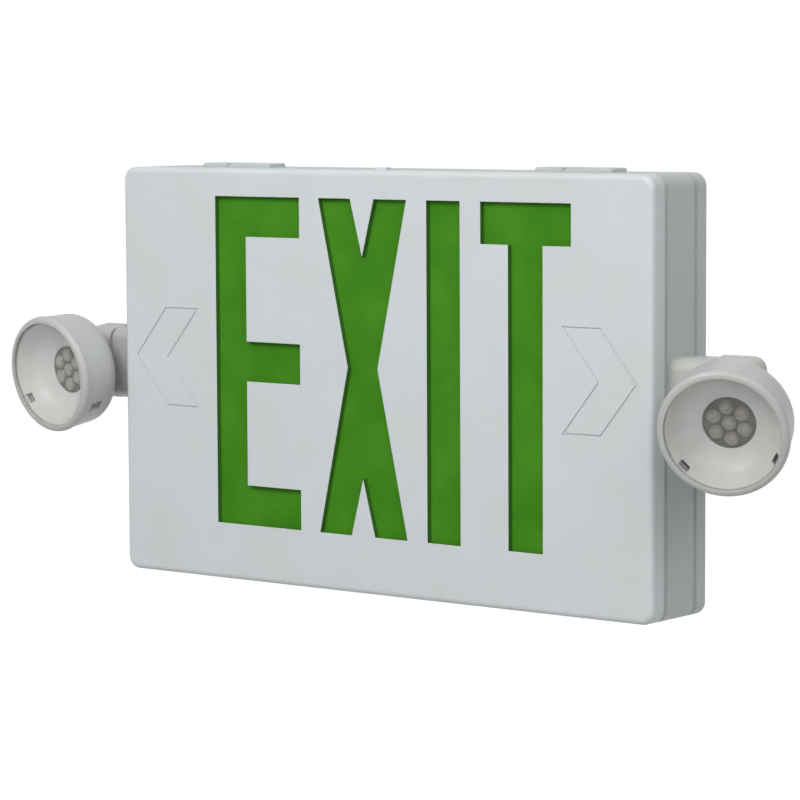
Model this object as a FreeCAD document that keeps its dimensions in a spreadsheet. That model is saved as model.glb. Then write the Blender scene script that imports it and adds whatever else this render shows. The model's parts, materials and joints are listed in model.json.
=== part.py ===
"""Emergency exit light: stencil-faced sign housing with two aimable lamp heads.

Frame: millimetres, +X to the viewer's right, +Z up, the wall at y = 0 and the
sign face towards -Y.  Every sketch of the housing lies parallel to the wall, so
a depth is the distance from the wall and is counted towards the viewer.
"""
import FreeCAD, Part
import Sketcher
import math
import os

DIMENSIONS = {
    # housing
    "housing_width": 302.0,
    "housing_height": 191.6,
    "corner_radius": 6.0,
    "wall": 2.5,
    "plate_depth": 8.9,
    "frame_depth": 22.8,
    "cover_depth": 10.3,
    "face_rounding": 2.6,
    "edge_rounding": 1.6,
    "seam_chamfer": 0.8,
    "lip_length": 3.0,
    "lip_thickness": 1.4,
    "lip_clearance": 0.2,
    "post_clearance": 0.3,
    "plate_floor": 2.2,
    "pad_inset": 34.0,
    "pad_width": 41.0,
    "pad_rise": 1.9,
    "pad_depth": 13.0,
    "scoop_width": 11.0,
    "scoop_depth": 4.5,
    "tab_width": 6.5,
    "tab_depth": 3.0,
    "tab_rise": 1.2,
    # legend cut through the face
    "letter_height": 152.4,
    "letter_width": 50.6,
    "letter_stroke": 18.5,
    "letter_gap": 11.3,
    "crossbar_letter_width": 48.4,
    "diagonal_notch": 26.0,
    "diagonal_waist": 17.1,
    "legend_margin": 58.0,
    "legend_base": 26.4,
    # knock-out arrows scored in the face
    "arrow_inner": 104.0,
    "arrow_band": 20.6,
    "arrow_point": 18.9,
    "arrow_height": 46.8,
    "score_width": 0.9,
    "score_depth": 0.5,
    # light box behind the face
    "panel_thickness": 2.0,
    "diffuser_thickness": 1.0,
    "panel_margin": 10.0,
    "tray_wall": 1.5,
    "tray_depth": 15.0,
    "strip_length": 252.0,
    "strip_width": 9.0,
    "strip_thickness": 1.2,
    "strip_inset": 3.0,
    "diode_pitch": 28.0,
    "diode_size": 5.0,
    "diode_rise": 1.1,
    # screw posts
    "post_inset": 8.0,
    "post_size": 12.0,
    "plate_post_radius": 5.0,
    "screw_radius": 1.5,
    "screw_head_radius": 3.0,
    "screw_head_height": 2.0,
    "screw_play": 0.06,
    "counterbore_play": 0.4,
    "counterbore_depth": 3.5,
    "screw_reach": 14.0,
    # mounting holes in the back plate
    "entry_radius": 11.1,
    "box_spacing": 88.9,
    "box_hole_radius": 2.3,
    "wall_spacing_across": 260.0,
    "wall_spacing_up": 110.0,
    "wall_hole_radius": 2.6,
    # circuit board and what it carries
    "board_side_inset": 64.0,
    "board_rise": 11.8,
    "board_width": 62.0,
    "board_height": 78.0,
    "board_standoff": 5.0,
    "board_thickness": 1.6,
    "standoff_radius": 3.2,
    "board_hole_inset": 4.0,
    "core_width": 24.0,
    "core_height": 18.0,
    "core_depth": 11.0,
    "coil_width": 16.0,
    "coil_height": 25.0,
    "coil_depth": 8.5,
    "capacitor_radius": 4.0,
    "capacitor_height": 11.0,
    "capacitor_pitch": 10.5,
    "relay_width": 15.5,
    "relay_height": 10.5,
    "relay_depth": 10.0,
    "terminal_width": 15.0,
    "terminal_height": 8.0,
    "terminal_depth": 10.0,
    "connector_size": 6.0,
    "connector_pitch": 9.0,
    "battery_plug_rise": 23.4,
    "switch_width": 6.5,
    "switch_height": 5.0,
    "plunger_radius": 1.6,
    "plunger_seat": 2.0,
    # battery
    "cell_radius": 7.15,
    "cell_length": 50.5,
    "battery_side_inset": 59.0,
    "battery_rise": 39.8,
    "clip_thickness": 1.2,
    "clip_width": 14.0,
    "clip_foot": 7.0,
    # test button and charge indicator in the lower wall
    "button_radius": 3.5,
    "button_play": 0.08,
    "button_depth": 14.0,
    "button_travel": 1.5,
    "button_recess": 0.4,
    "button_shoulder": 1.0,
    "indicator_radius": 2.5,
    "indicator_offset": 15.0,
    # lamp support
    "lamp_level": 1.2,
    "pivot_depth": 20.0,
    "pivot_reach": 30.2,
    "knuckle_front": 10.0,
    "knuckle_rear": 12.0,
    "knuckle_height": 34.0,
    "knuckle_rounding": 6.0,
    "knuckle_end_rounding": 5.5,
    "knuckle_inner": 10.1,
    "knuckle_web": 2.5,
    "knuckle_back": 5.0,
    "swivel_gap": 0.3,
    "fork_gap": 16.0,
    "spigot_radius": 8.0,
    "spigot_bore": 4.5,
    "spigot_play": 0.06,
    "spigot_end": 0.8,
    "ring_radius": 9.6,
    "ring_thickness": 1.2,
    "bracket_screw_height": 13.0,
    "bracket_screw_reach": 12.0,
    "pin_radius": 2.5,
    "pin_play": 0.06,
    "seat_play": 0.02,
    "pin_head_radius": 3.8,
    "pin_head_height": 2.2,
    # lamp head, lengths counted forward from the pivot
    "eye_radius": 6.0,
    "eye_play": 0.3,
    "neck_width": 10.0,
    "arm_flange": 1.5,
    "arm_flange_radius": 8.4,
    "shell_back": 15.6,
    "shell_back_radius": 26.2,
    "shell_rounding": 7.0,
    "shell_front_radius": 27.6,
    "shell_wall": 1.8,
    "rim_plane": 40.0,
    "rim_radius": 28.0,
    "bezel_depth": 3.2,
    "bezel_land": 0.8,
    "bezel_opening": 25.0,
    "bezel_rounding": 2.3,
    "snap_angle": 35.0,
    "snap_width": 5.0,
    "snap_length": 6.5,
    "snap_setback": 3.5,
    "snap_slot": 1.8,
    "lens_thickness": 1.2,
    "lens_play": 0.1,
    "reflector_wall": 0.9,
    "bowl_rounding": 14.0,
    "bowl_lip": 1.08,
    "bowl_lip_back": 0.54,
    "emitter_radius": 11.2,
    "emitter_depth": 14.3,
    "emitter_holder": 1.0,
    "dome_radius": 3.2,
    "dome_pitch": 7.0,
    "lamp_board_radius": 14.0,
    "lamp_board_thickness": 1.6,
    # aim of the two heads
    "right_tilt": 18.0,
    "right_pan": 20.0,
    "left_tilt": 7.0,
    "left_pan": 7.0,
    # leads
    "lead_radius": 1.1,
    "lead_rise": 12.0,
    "lead_step": 16.0,
    "lead_sweep": 24.0,
    "lead_entry_rise": 2.0,
    "battery_lead_start": 14.0,
    "battery_lead_run": 40.0,
}

DOC = FreeCAD.newDocument("ExitLight")
SHEET = DOC.addObject("Spreadsheet::Sheet", "Sizes")
PIECES = []


class Length:
    """A value together with the sheet formula that it is worked out by."""

    def __init__(self, value, text):
        self.value = float(value)
        self.text = text

    @staticmethod
    def of(other):
        return other if isinstance(other, Length) else Length(other, repr(float(other)))

    def _join(self, sign, other, result):
        return Length(result, f"({self.text} {sign} {other.text})")

    def __add__(self, other):
        other = Length.of(other)
        return self._join("+", other, self.value + other.value)

    def __sub__(self, other):
        other = Length.of(other)
        return self._join("-", other, self.value - other.value)

    def __mul__(self, other):
        other = Length.of(other)
        return self._join("*", other, self.value * other.value)

    def __truediv__(self, other):
        other = Length.of(other)
        return self._join("/", other, self.value / other.value)

    def __radd__(self, other):
        return Length.of(other) + self

    def __rsub__(self, other):
        return Length.of(other) - self

    def __rmul__(self, other):
        return Length.of(other) * self

    def __neg__(self):
        return Length.of(0) - self


def fill_sheet():
    """Write every dimension to its own row, under its name."""
    lengths = {}
    for row, (name, number) in enumerate(DIMENSIONS.items(), start=1):
        SHEET.set(f"A{row}", name)
        SHEET.set(f"B{row}", str(number))
        SHEET.setAlias(f"B{row}", name)
        lengths[name] = Length(number, f"Sizes.{name}")
    DOC.recompute()
    return lengths


class Dimensions:
    """The sheet's rows, read as attributes."""

    def __init__(self, lengths):
        self.__dict__.update(lengths)


D = Dimensions(fill_sheet())
ZERO = Length.of(0)

WALL_PLANE = "XZ_Plane"      # sketch right = +X, up = +Z, out = towards the viewer
SIDE_PLANE = "YZ_Plane"      # sketch right = +Y, up = +Z, out = +X
LEVEL_PLANE = "XY_Plane"     # sketch right = +X, up = +Y, out = +Z


def tie(feature, path, length):
    """Bind one property of a feature to the sheet."""
    feature.setExpression(path, Length.of(length).text)


class Sketch:
    """A fully dimensioned sketch on one of the body's own planes."""

    def __init__(self, body, plane, offset=ZERO):
        self.shape = body.newObject("Sketcher::SketchObject", body.Name + "_sketch")
        origin = next(f for f in body.Origin.OriginFeatures if f.Role == plane)
        self.shape.AttachmentSupport = (origin, "")
        self.shape.MapMode = "FlatFace"
        offset = Length.of(offset)
        self.shape.AttachmentOffset.Base = FreeCAD.Vector(0, 0, offset.value)
        tie(self.shape, ".AttachmentOffset.Base.z", offset)

    def _rule(self, *arguments):
        return self.shape.addConstraint(Sketcher.Constraint(*arguments))

    def _size(self, length, *arguments):
        length = Length.of(length)
        index = self._rule(*arguments, length.value)
        tie(self.shape, f"Constraints[{index}]", length)

    def _place(self, geometry, position, point):
        self._size(point[0], "DistanceX", -1, 1, geometry, position)
        self._size(point[1], "DistanceY", -1, 1, geometry, position)

    def circle(self, x, y, radius):
        x, y, radius = Length.of(x), Length.of(y), Length.of(radius)
        centre = FreeCAD.Vector(x.value, y.value, 0)
        circle = self.shape.addGeometry(
            Part.Circle(centre, FreeCAD.Vector(0, 0, 1), radius.value), False)
        self._place(circle, 3, (x, y))
        self._size(radius, "Radius", circle)
        return self

    def outline(self, corners, rounding=ZERO):
        """Close a line through the corners; a corner may carry its own rounding."""
        corners = [tuple(Length.of(v) for v in corner) for corner in corners]
        points = [FreeCAD.Vector(c[0].value, c[1].value, 0) for c in corners]
        radii = [c[2] if len(c) > 2 else Length.of(rounding) for c in corners]
        count = len(corners)
        starts, ends, turns = [], [], []
        for i in range(count):
            back = (points[i - 1] - points[i]).normalize()
            on = (points[(i + 1) % count] - points[i]).normalize()
            half = math.acos(max(-1.0, min(1.0, back.dot(on)))) / 2
            reach = radii[i].value / math.tan(half)
            ends.append(points[i] + back * reach)
            starts.append(points[i] + on * reach)
            turns.append((-back).cross(on).z)
        lines = [
            self.shape.addGeometry(
                Part.LineSegment(starts[i], ends[(i + 1) % count]), False)
            for i in range(count)
        ]
        for i in range(count):
            before, after = lines[i - 1], lines[i]
            if radii[i].value == 0:
                self._rule("Coincident", before, 2, after, 1)
                self._place(after, 1, corners[i])
                continue
            corner = self.shape.addGeometry(Part.Point(points[i]), True)
            self._place(corner, 1, corners[i])
            self._rule("PointOnObject", corner, 1, before)
            self._rule("PointOnObject", corner, 1, after)
            arc = self.shape.addGeometry(
                self._arc(ends[i], points[i], starts[i], radii[i].value), False)
            first, second = (1, 2) if turns[i] > 0 else (2, 1)
            self._rule("Tangent", before, 2, arc, first)
            self._rule("Tangent", after, 1, arc, second)
            self._size(radii[i], "Radius", arc)
        return self

    @staticmethod
    def _arc(start, corner, end, radius):
        middle = (start + end) * 0.5
        inward = (middle - corner).normalize()
        half = (start - corner).Length
        centre = corner + inward * math.hypot(half, radius)
        return Part.Arc(start, centre - inward * radius, end)

    def rectangle(self, x, y, width, height, rounding=ZERO):
        """A rectangle about its centre."""
        x, y, width, height = (Length.of(v) for v in (x, y, width, height))
        left, right = x - width / 2, x + width / 2
        low, high = y - height / 2, y + height / 2
        return self.outline(
            [(left, low), (right, low), (right, high), (left, high)], rounding)

    def band(self, corners, width):
        """An outline and a second one inside it, a fixed width apart."""
        first = self.shape.GeometryCount
        self.outline(corners)
        count = len(corners)
        points = [FreeCAD.Vector(Length.of(c[0]).value, Length.of(c[1]).value, 0)
                  for c in corners]
        inner = []
        for i in range(count):
            back = (points[i] - points[i - 1]).normalize()
            on = (points[(i + 1) % count] - points[i]).normalize()
            normal = FreeCAD.Vector(-back.y - on.y, back.x + on.x, 0)
            scale = width.value / (1 + back.dot(on))
            inner.append(points[i] + normal * scale)
        lines = [
            self.shape.addGeometry(
                Part.LineSegment(inner[i], inner[(i + 1) % count]), False)
            for i in range(count)
        ]
        for i in range(count):
            self._rule("Coincident", lines[i - 1], 2, lines[i], 1)
        for i in range(count):
            self._rule("Parallel", first + i, lines[i])
            self._size(width, "Distance", lines[i], 1, first + i)
        return self


class Piece:
    """One physical piece: a body whose label is the name of its file."""

    def __init__(self, label, placement=None):
        self.body = DOC.addObject("PartDesign::Body", label)
        self.body.Label = label
        self.label = label
        if placement:
            self.body.setExpression("Placement", placement)
        PIECES.append(self.body)

    def on(self, plane, offset=ZERO):
        return Sketch(self.body, plane, offset)

    def _finish(self, feature):
        self.body.Tip = feature
        DOC.recompute()
        return feature

    def volume(self):
        return self.body.Shape.Volume if self.body.Shape and not self.body.Shape.isNull() else 0

    def pad(self, sketch, length, towards=1):
        feature = self.body.newObject("PartDesign::Pad", self.label + "_pad")
        feature.Profile = sketch.shape
        feature.Length = Length.of(length).value
        tie(feature, "Length", length)
        feature.Reversed = towards < 0
        sketch.shape.Visibility = False
        return self._finish(feature)

    def pocket(self, sketch, length, towards=1):
        """Cut from the sketch's plane, along its outward side by default."""
        before = self.volume()
        feature = self.body.newObject("PartDesign::Pocket", self.label + "_pocket")
        feature.Profile = sketch.shape
        feature.Length = Length.of(length).value
        tie(feature, "Length", length)
        feature.Reversed = towards > 0
        self._finish(feature)
        if not self.volume() < before - 1e-6:
            raise RuntimeError(f"{self.label}: a pocket removes nothing")
        return feature

    def turn(self, sketch, axis):
        """Revolve about the sketch's own H_Axis or V_Axis."""
        feature = self.body.newObject("PartDesign::Revolution", self.label + "_turned")
        feature.Profile = sketch.shape
        feature.ReferenceAxis = (sketch.shape, [axis])
        feature.Angle = 360.0
        return self._finish(feature)

    def groove(self, sketch, axis):
        before = self.volume()
        feature = self.body.newObject("PartDesign::Groove", self.label + "_groove")
        feature.Profile = sketch.shape
        feature.ReferenceAxis = (sketch.shape, [axis])
        feature.Angle = 360.0
        self._finish(feature)
        if not self.volume() < before - 1e-6:
            raise RuntimeError(f"{self.label}: a groove removes nothing")
        return feature

    def _edges(self, choose):
        tip = self.body.Tip
        names = [f"Edge{i}" for i, edge in enumerate(tip.Shape.Edges, start=1)
                 if choose(edge)]
        if not names:
            raise RuntimeError(f"{self.label}: no edge to dress")
        return tip, names

    def fillet(self, choose, radius):
        tip, names = self._edges(choose)
        feature = self.body.newObject("PartDesign::Fillet", self.label + "_fillet")
        feature.Base = (tip, names)
        feature.Radius = Length.of(radius).value
        tie(feature, "Radius", radius)
        return self._finish(feature)

    def chamfer(self, choose, size):
        tip, names = self._edges(choose)
        feature = self.body.newObject("PartDesign::Chamfer", self.label + "_chamfer")
        feature.Base = (tip, names)
        feature.Size = Length.of(size).value
        tie(feature, "Size", size)
        return self._finish(feature)


def lies_at(axis, position):
    """Choose the edges that lie wholly at one coordinate."""
    def choose(edge):
        box = edge.BoundBox
        low, high = getattr(box, axis + "Min"), getattr(box, axis + "Max")
        return abs(low - position) < 1e-4 and abs(high - position) < 1e-4
    return choose


# ---------------------------------------------------------------- shared planes
HALF_WIDTH = D.housing_width / 2
HALF_HEIGHT = D.housing_height / 2
FRAME_BACK = D.plate_depth
FRAME_FRONT = FRAME_BACK + D.frame_depth
FACE_FRONT = FRAME_FRONT + D.cover_depth
FACE_BACK = FACE_FRONT - D.wall
PANEL_BACK = FACE_BACK - D.panel_thickness
TRAY_FRONT = PANEL_BACK - D.diffuser_thickness
TRAY_BACK = TRAY_FRONT - D.tray_depth
PLATE_LIP_END = FRAME_BACK + D.lip_length
POST_BACK = PLATE_LIP_END + D.post_clearance
BOARD_BACK = D.plate_floor + D.board_standoff
BOARD_FRONT = BOARD_BACK + D.board_thickness
BOARD_X = HALF_WIDTH - D.board_side_inset
BOARD_LOW = D.board_rise - HALF_HEIGHT
BOARD_HIGH = BOARD_LOW + D.board_height
BOARD_MIDDLE = BOARD_LOW + D.board_height / 2
BATTERY_PLUG = BOARD_LOW + D.battery_plug_rise
BATTERY_X = D.battery_side_inset - HALF_WIDTH
BATTERY_Z = D.battery_rise - HALF_HEIGHT
SCREW_HOLE = D.screw_radius + D.screw_play
CORNERS = [(across, up) for across in (-1, 1) for up in (-1, 1)]
LEGEND_LEFT = D.legend_margin - HALF_WIDTH
LEGEND_LOW = D.legend_base - HALF_HEIGHT
LEGEND_HIGH = LEGEND_LOW + D.letter_height
LEGEND_MIDDLE = LEGEND_LOW + D.letter_height / 2


def housing_outline(sketch, inset):
    """The housing's front-view outline, moved in by a distance."""
    return sketch.rectangle(0, 0, D.housing_width - inset * 2,
                            D.housing_height - inset * 2, D.corner_radius - inset)


def lip(piece, seam, back):
    """A lip that stands past a seam and slides inside the neighbouring wall."""
    outside = D.wall + D.lip_clearance
    inside = outside + D.lip_thickness
    root = piece.on(WALL_PLANE, seam - back)
    housing_outline(root, D.wall / 2)
    housing_outline(root, inside)
    piece.pad(root, back)
    ring = piece.on(WALL_PLANE, seam)
    housing_outline(ring, outside)
    housing_outline(ring, inside)
    piece.pad(ring, D.lip_length)


def ring_notch(sketch):
    """Room in a lip for the retaining rings on the side walls."""
    return sketch.rectangle(0, D.lamp_level, D.housing_width - D.wall * 2,
                            (D.ring_radius + D.wall) * 2)


# ---------------------------------------------------------------- sign face
def letter_e(sketch, left):
    right, stem = left + D.letter_width, left + D.letter_stroke
    low, high, middle = LEGEND_LOW, LEGEND_HIGH, LEGEND_MIDDLE
    half = D.letter_stroke / 2
    sketch.outline([
        (left, low), (right, low), (right, low + D.letter_stroke),
        (stem, low + D.letter_stroke), (stem, middle - half), (right, middle - half),
        (right, middle + half), (stem, middle + half), (stem, high - D.letter_stroke),
        (right, high - D.letter_stroke), (right, high), (left, high)])


def letter_x(sketch, left):
    right, centre = left + D.letter_width, left + D.letter_width / 2
    low, high = LEGEND_LOW, LEGEND_HIGH
    sketch.outline([
        (left, low), (left + D.letter_stroke, low), (centre, low + D.diagonal_notch),
        (right - D.letter_stroke, low), (right, low),
        (centre + D.diagonal_waist / 2, LEGEND_MIDDLE),
        (right, high), (right - D.letter_stroke, high), (centre, high - D.diagonal_notch),
        (left + D.letter_stroke, high), (left, high),
        (centre - D.diagonal_waist / 2, LEGEND_MIDDLE)])


def letter_i(sketch, left):
    sketch.rectangle(left + D.letter_stroke / 2, LEGEND_MIDDLE,
                     D.letter_stroke, D.letter_height)


def letter_t(sketch, left):
    right = left + D.crossbar_letter_width
    centre = left + D.crossbar_letter_width / 2
    under = LEGEND_HIGH - D.letter_stroke
    half = D.letter_stroke / 2
    sketch.outline([
        (centre - half, LEGEND_LOW), (centre + half, LEGEND_LOW), (centre + half, under),
        (right, under), (right, LEGEND_HIGH), (left, LEGEND_HIGH), (left, under),
        (centre - half, under)])


def face_cover():
    """Moulded face with a skirt, the stencilled legend and the scored arrows."""
    piece = Piece("face_cover")
    piece.pad(housing_outline(piece.on(WALL_PLANE, FRAME_FRONT), ZERO), D.cover_depth)
    piece.fillet(lies_at("Y", -FACE_FRONT.value), D.face_rounding)
    piece.chamfer(lies_at("Y", -FRAME_FRONT.value), D.seam_chamfer)
    piece.pocket(housing_outline(piece.on(WALL_PLANE, FRAME_FRONT), D.wall),
                 D.cover_depth - D.wall)
    tab = piece.on(LEVEL_PLANE, HALF_HEIGHT - D.wall / 2)
    tab.rectangle(0, -(FRAME_FRONT + D.seam_chamfer + D.tab_depth / 2),
                  D.tab_width, D.tab_depth)
    piece.pad(tab, D.wall / 2 + D.tab_rise)
    legend = piece.on(WALL_PLANE, FACE_FRONT)
    left = LEGEND_LEFT
    for draw, width in ((letter_e, D.letter_width), (letter_x, D.letter_width),
                        (letter_i, D.letter_stroke), (letter_t, D.crossbar_letter_width)):
        draw(legend, left)
        left = left + width + D.letter_gap
    piece.pocket(legend, D.wall, towards=-1)
    low, high = LEGEND_MIDDLE - D.arrow_height / 2, LEGEND_MIDDLE + D.arrow_height / 2
    arrow = [
        (D.arrow_inner, low), (D.arrow_inner + D.arrow_band, low),
        (D.arrow_inner + D.arrow_band + D.arrow_point, LEGEND_MIDDLE),
        (D.arrow_inner + D.arrow_band, high), (D.arrow_inner, high),
        (D.arrow_inner + D.arrow_point, LEGEND_MIDDLE)]
    score = piece.on(WALL_PLANE, FACE_FRONT)
    score.band(arrow, D.score_width)
    score.band([(-x, z) for x, z in reversed(arrow)], D.score_width)
    piece.pocket(score, D.score_depth, towards=-1)


# ---------------------------------------------------------------- housing frame
def housing_frame():
    """Four-sided frame that carries the lamps, the light box and the test button."""
    piece = Piece("housing_frame")
    piece.pad(housing_outline(piece.on(WALL_PLANE, FRAME_BACK), ZERO), D.frame_depth)
    piece.chamfer(lies_at("Y", -FRAME_BACK.value), D.seam_chamfer)
    piece.chamfer(lies_at("Y", -FRAME_FRONT.value), D.seam_chamfer)
    piece.pocket(housing_outline(piece.on(WALL_PLANE, FRAME_BACK), D.wall), D.frame_depth)
    lip(piece, FRAME_FRONT, D.lip_length)
    piece.pocket(ring_notch(piece.on(WALL_PLANE, FRAME_FRONT - D.lip_length)),
                 D.lip_length * 2)
    posts = piece.on(WALL_PLANE, POST_BACK)
    for across, up in CORNERS:
        posts.rectangle((HALF_WIDTH - D.post_inset) * across,
                        (HALF_HEIGHT - D.post_inset) * up, D.post_size, D.post_size)
    piece.pad(posts, TRAY_BACK - POST_BACK)
    pilots = piece.on(WALL_PLANE, POST_BACK)
    for across, up in CORNERS:
        pilots.circle((HALF_WIDTH - D.post_inset) * across,
                      (HALF_HEIGHT - D.post_inset) * up, SCREW_HOLE)
    piece.pocket(pilots, TRAY_BACK - POST_BACK - D.wall / 2)
    pads = piece.on(LEVEL_PLANE, HALF_HEIGHT - D.wall / 2)
    for across in (-1, 1):
        pads.rectangle((HALF_WIDTH - D.pad_inset - D.pad_width / 2) * across,
                       -(FRAME_BACK + D.pad_depth / 2 + D.seam_chamfer * 2),
                       D.pad_width, D.pad_depth, D.edge_rounding)
    piece.pad(pads, D.wall / 2 + D.pad_rise)
    top = (HALF_HEIGHT + D.pad_rise).value
    piece.fillet(lies_at("Z", top), D.edge_rounding / 2)
    pad_front = -(FRAME_BACK + D.pad_depth + D.seam_chamfer * 2)
    for across in (-1, 1):
        middle = (HALF_WIDTH - D.pad_inset - D.pad_width / 2) * across
        scoop = piece.on(SIDE_PLANE, middle - D.scoop_width / 2)
        scoop.outline([
            (pad_front - D.wall, HALF_HEIGHT + D.lip_clearance),
            (pad_front + D.lip_clearance, HALF_HEIGHT + D.lip_clearance),
            (pad_front + D.scoop_depth, HALF_HEIGHT + D.pad_rise + D.lip_clearance),
            (pad_front - D.wall, HALF_HEIGHT + D.pad_rise + D.lip_clearance)])
        piece.pocket(scoop, D.scoop_width)
    for side in (-1, 1):
        opening = piece.on(SIDE_PLANE, HALF_WIDTH * side)
        opening.circle(-D.pivot_depth, D.lamp_level,
                       D.spigot_radius + D.spigot_play + D.swivel_gap)
        for up in (-1, 1):
            opening.circle(-D.pivot_depth, D.lamp_level + D.bracket_screw_height * up,
                           SCREW_HOLE)
        piece.pocket(opening, D.wall, towards=-side)
    controls = piece.on(LEVEL_PLANE, -HALF_HEIGHT)
    controls.circle(BOARD_X, -D.button_depth, D.button_radius + D.button_play)
    controls.circle(BOARD_X - D.indicator_offset, -D.button_depth,
                    D.indicator_radius + D.seat_play)
    piece.pocket(controls, D.wall)


# ---------------------------------------------------------------- back plate
def board_holes(sketch, radius):
    half_across = D.board_width / 2 - D.board_hole_inset
    half_up = D.board_height / 2 - D.board_hole_inset
    for across, up in CORNERS:
        sketch.circle(BOARD_X + half_across * across, BOARD_MIDDLE + half_up * up, radius)
    return sketch


def post_circles(sketch, radius):
    for across, up in CORNERS:
        sketch.circle((HALF_WIDTH - D.post_inset) * across,
                      (HALF_HEIGHT - D.post_inset) * up, radius)
    return sketch


def back_plate():
    """Shallow tray against the wall, with the cable entry and the fixing holes."""
    piece = Piece("back_plate")
    piece.pad(housing_outline(piece.on(WALL_PLANE, 0), ZERO), D.plate_depth)
    piece.chamfer(lies_at("Y", 0), D.seam_chamfer)
    piece.chamfer(lies_at("Y", -FRAME_BACK.value), D.seam_chamfer)
    piece.pocket(housing_outline(piece.on(WALL_PLANE, D.plate_floor), D.wall),
                 D.plate_depth - D.plate_floor)
    lip(piece, FRAME_BACK, D.lip_length)
    piece.pocket(ring_notch(piece.on(WALL_PLANE, FRAME_BACK - D.lip_length)),
                 D.lip_length * 2)
    notch = piece.on(WALL_PLANE, FRAME_BACK - D.lip_length)
    notch.rectangle(BOARD_X - D.indicator_offset / 2,
                    D.wall * 2 - HALF_HEIGHT,
                    D.indicator_offset + (D.button_radius + D.wall) * 2, D.wall * 2)
    piece.pocket(notch, D.lip_length * 2)
    posts = post_circles(piece.on(WALL_PLANE, D.plate_floor / 2), D.plate_post_radius)
    piece.pad(posts, POST_BACK - D.plate_floor / 2)
    standoffs = board_holes(piece.on(WALL_PLANE, D.plate_floor / 2), D.standoff_radius)
    piece.pad(standoffs, BOARD_BACK - D.plate_floor / 2)
    piece.pocket(board_holes(piece.on(WALL_PLANE, D.plate_floor), SCREW_HOLE),
                 D.board_standoff)
    piece.pocket(post_circles(piece.on(WALL_PLANE, 0), SCREW_HOLE), POST_BACK)
    piece.pocket(
        post_circles(piece.on(WALL_PLANE, 0), D.screw_head_radius + D.counterbore_play),
        D.counterbore_depth)
    fixing = piece.on(WALL_PLANE, 0)
    fixing.circle(0, 0, D.entry_radius)
    for across in (-1, 1):
        fixing.circle(D.box_spacing / 2 * across, 0, D.box_hole_radius)
    for across, up in CORNERS:
        fixing.circle(D.wall_spacing_across / 2 * across, D.wall_spacing_up / 2 * up,
                      D.wall_hole_radius)
    piece.pocket(fixing, D.plate_floor)


def plate_screws():
    """Four screws that hold the back plate to the frame's posts."""
    piece = Piece("plate_screws")
    head = D.counterbore_depth - D.screw_head_height
    piece.pad(post_circles(piece.on(WALL_PLANE, head), D.screw_head_radius),
              D.screw_head_height)
    piece.pad(post_circles(piece.on(WALL_PLANE, D.counterbore_depth), D.screw_radius),
              D.screw_reach)


# ---------------------------------------------------------------- light box
def light_box():
    """Legend panel, diffuser, white reflector tray and its two rows of diodes."""
    width = D.housing_width - (D.wall + D.panel_margin) * 2
    height = D.housing_height - (D.wall + D.panel_margin) * 2
    panel = Piece("legend_panel")
    panel.pad(panel.on(WALL_PLANE, PANEL_BACK).rectangle(0, 0, width, height),
              D.panel_thickness)
    diffuser = Piece("diffuser_sheet")
    diffuser.pad(diffuser.on(WALL_PLANE, TRAY_FRONT).rectangle(0, 0, width, height),
                 D.diffuser_thickness)
    tray = Piece("reflector_tray")
    tray.pad(tray.on(WALL_PLANE, TRAY_BACK).rectangle(
        0, 0, width, height, D.edge_rounding), D.tray_depth)
    tray.pocket(tray.on(WALL_PLANE, TRAY_BACK + D.tray_wall).rectangle(
        0, 0, width - D.tray_wall * 2, height - D.tray_wall * 2), D.tray_depth - D.tray_wall)
    strip_back = TRAY_BACK + D.tray_wall + D.strip_inset
    inner_edge = height / 2 - D.tray_wall
    diodes = Piece("sign_diodes")
    row = diodes.on(WALL_PLANE, strip_back + D.strip_width / 2 - D.diode_size / 2)
    count = round(D.strip_length.value / D.diode_pitch.value)
    for name, side in (("strip_board_top", 1), ("strip_board_bottom", -1)):
        board = Piece(name)
        level = (inner_edge - D.strip_thickness / 2) * side
        board.pad(board.on(WALL_PLANE, strip_back).rectangle(
            0, level, D.strip_length, D.strip_thickness), D.strip_width)
        level = (inner_edge - D.strip_thickness - D.diode_rise / 2) * side
        for i in range(count):
            row.rectangle(D.diode_pitch * (i - (count - 1) / 2), level,
                          D.diode_size, D.diode_rise)
    diodes.pad(row, D.diode_size)


# ---------------------------------------------------------------- electronics
def on_board(label, x, z, width, height, depth, rounding=ZERO):
    """A block that stands on the circuit board."""
    piece = Piece(label)
    piece.pad(piece.on(WALL_PLANE, BOARD_FRONT).rectangle(x, z, width, height, rounding),
              depth)
    return piece


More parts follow.
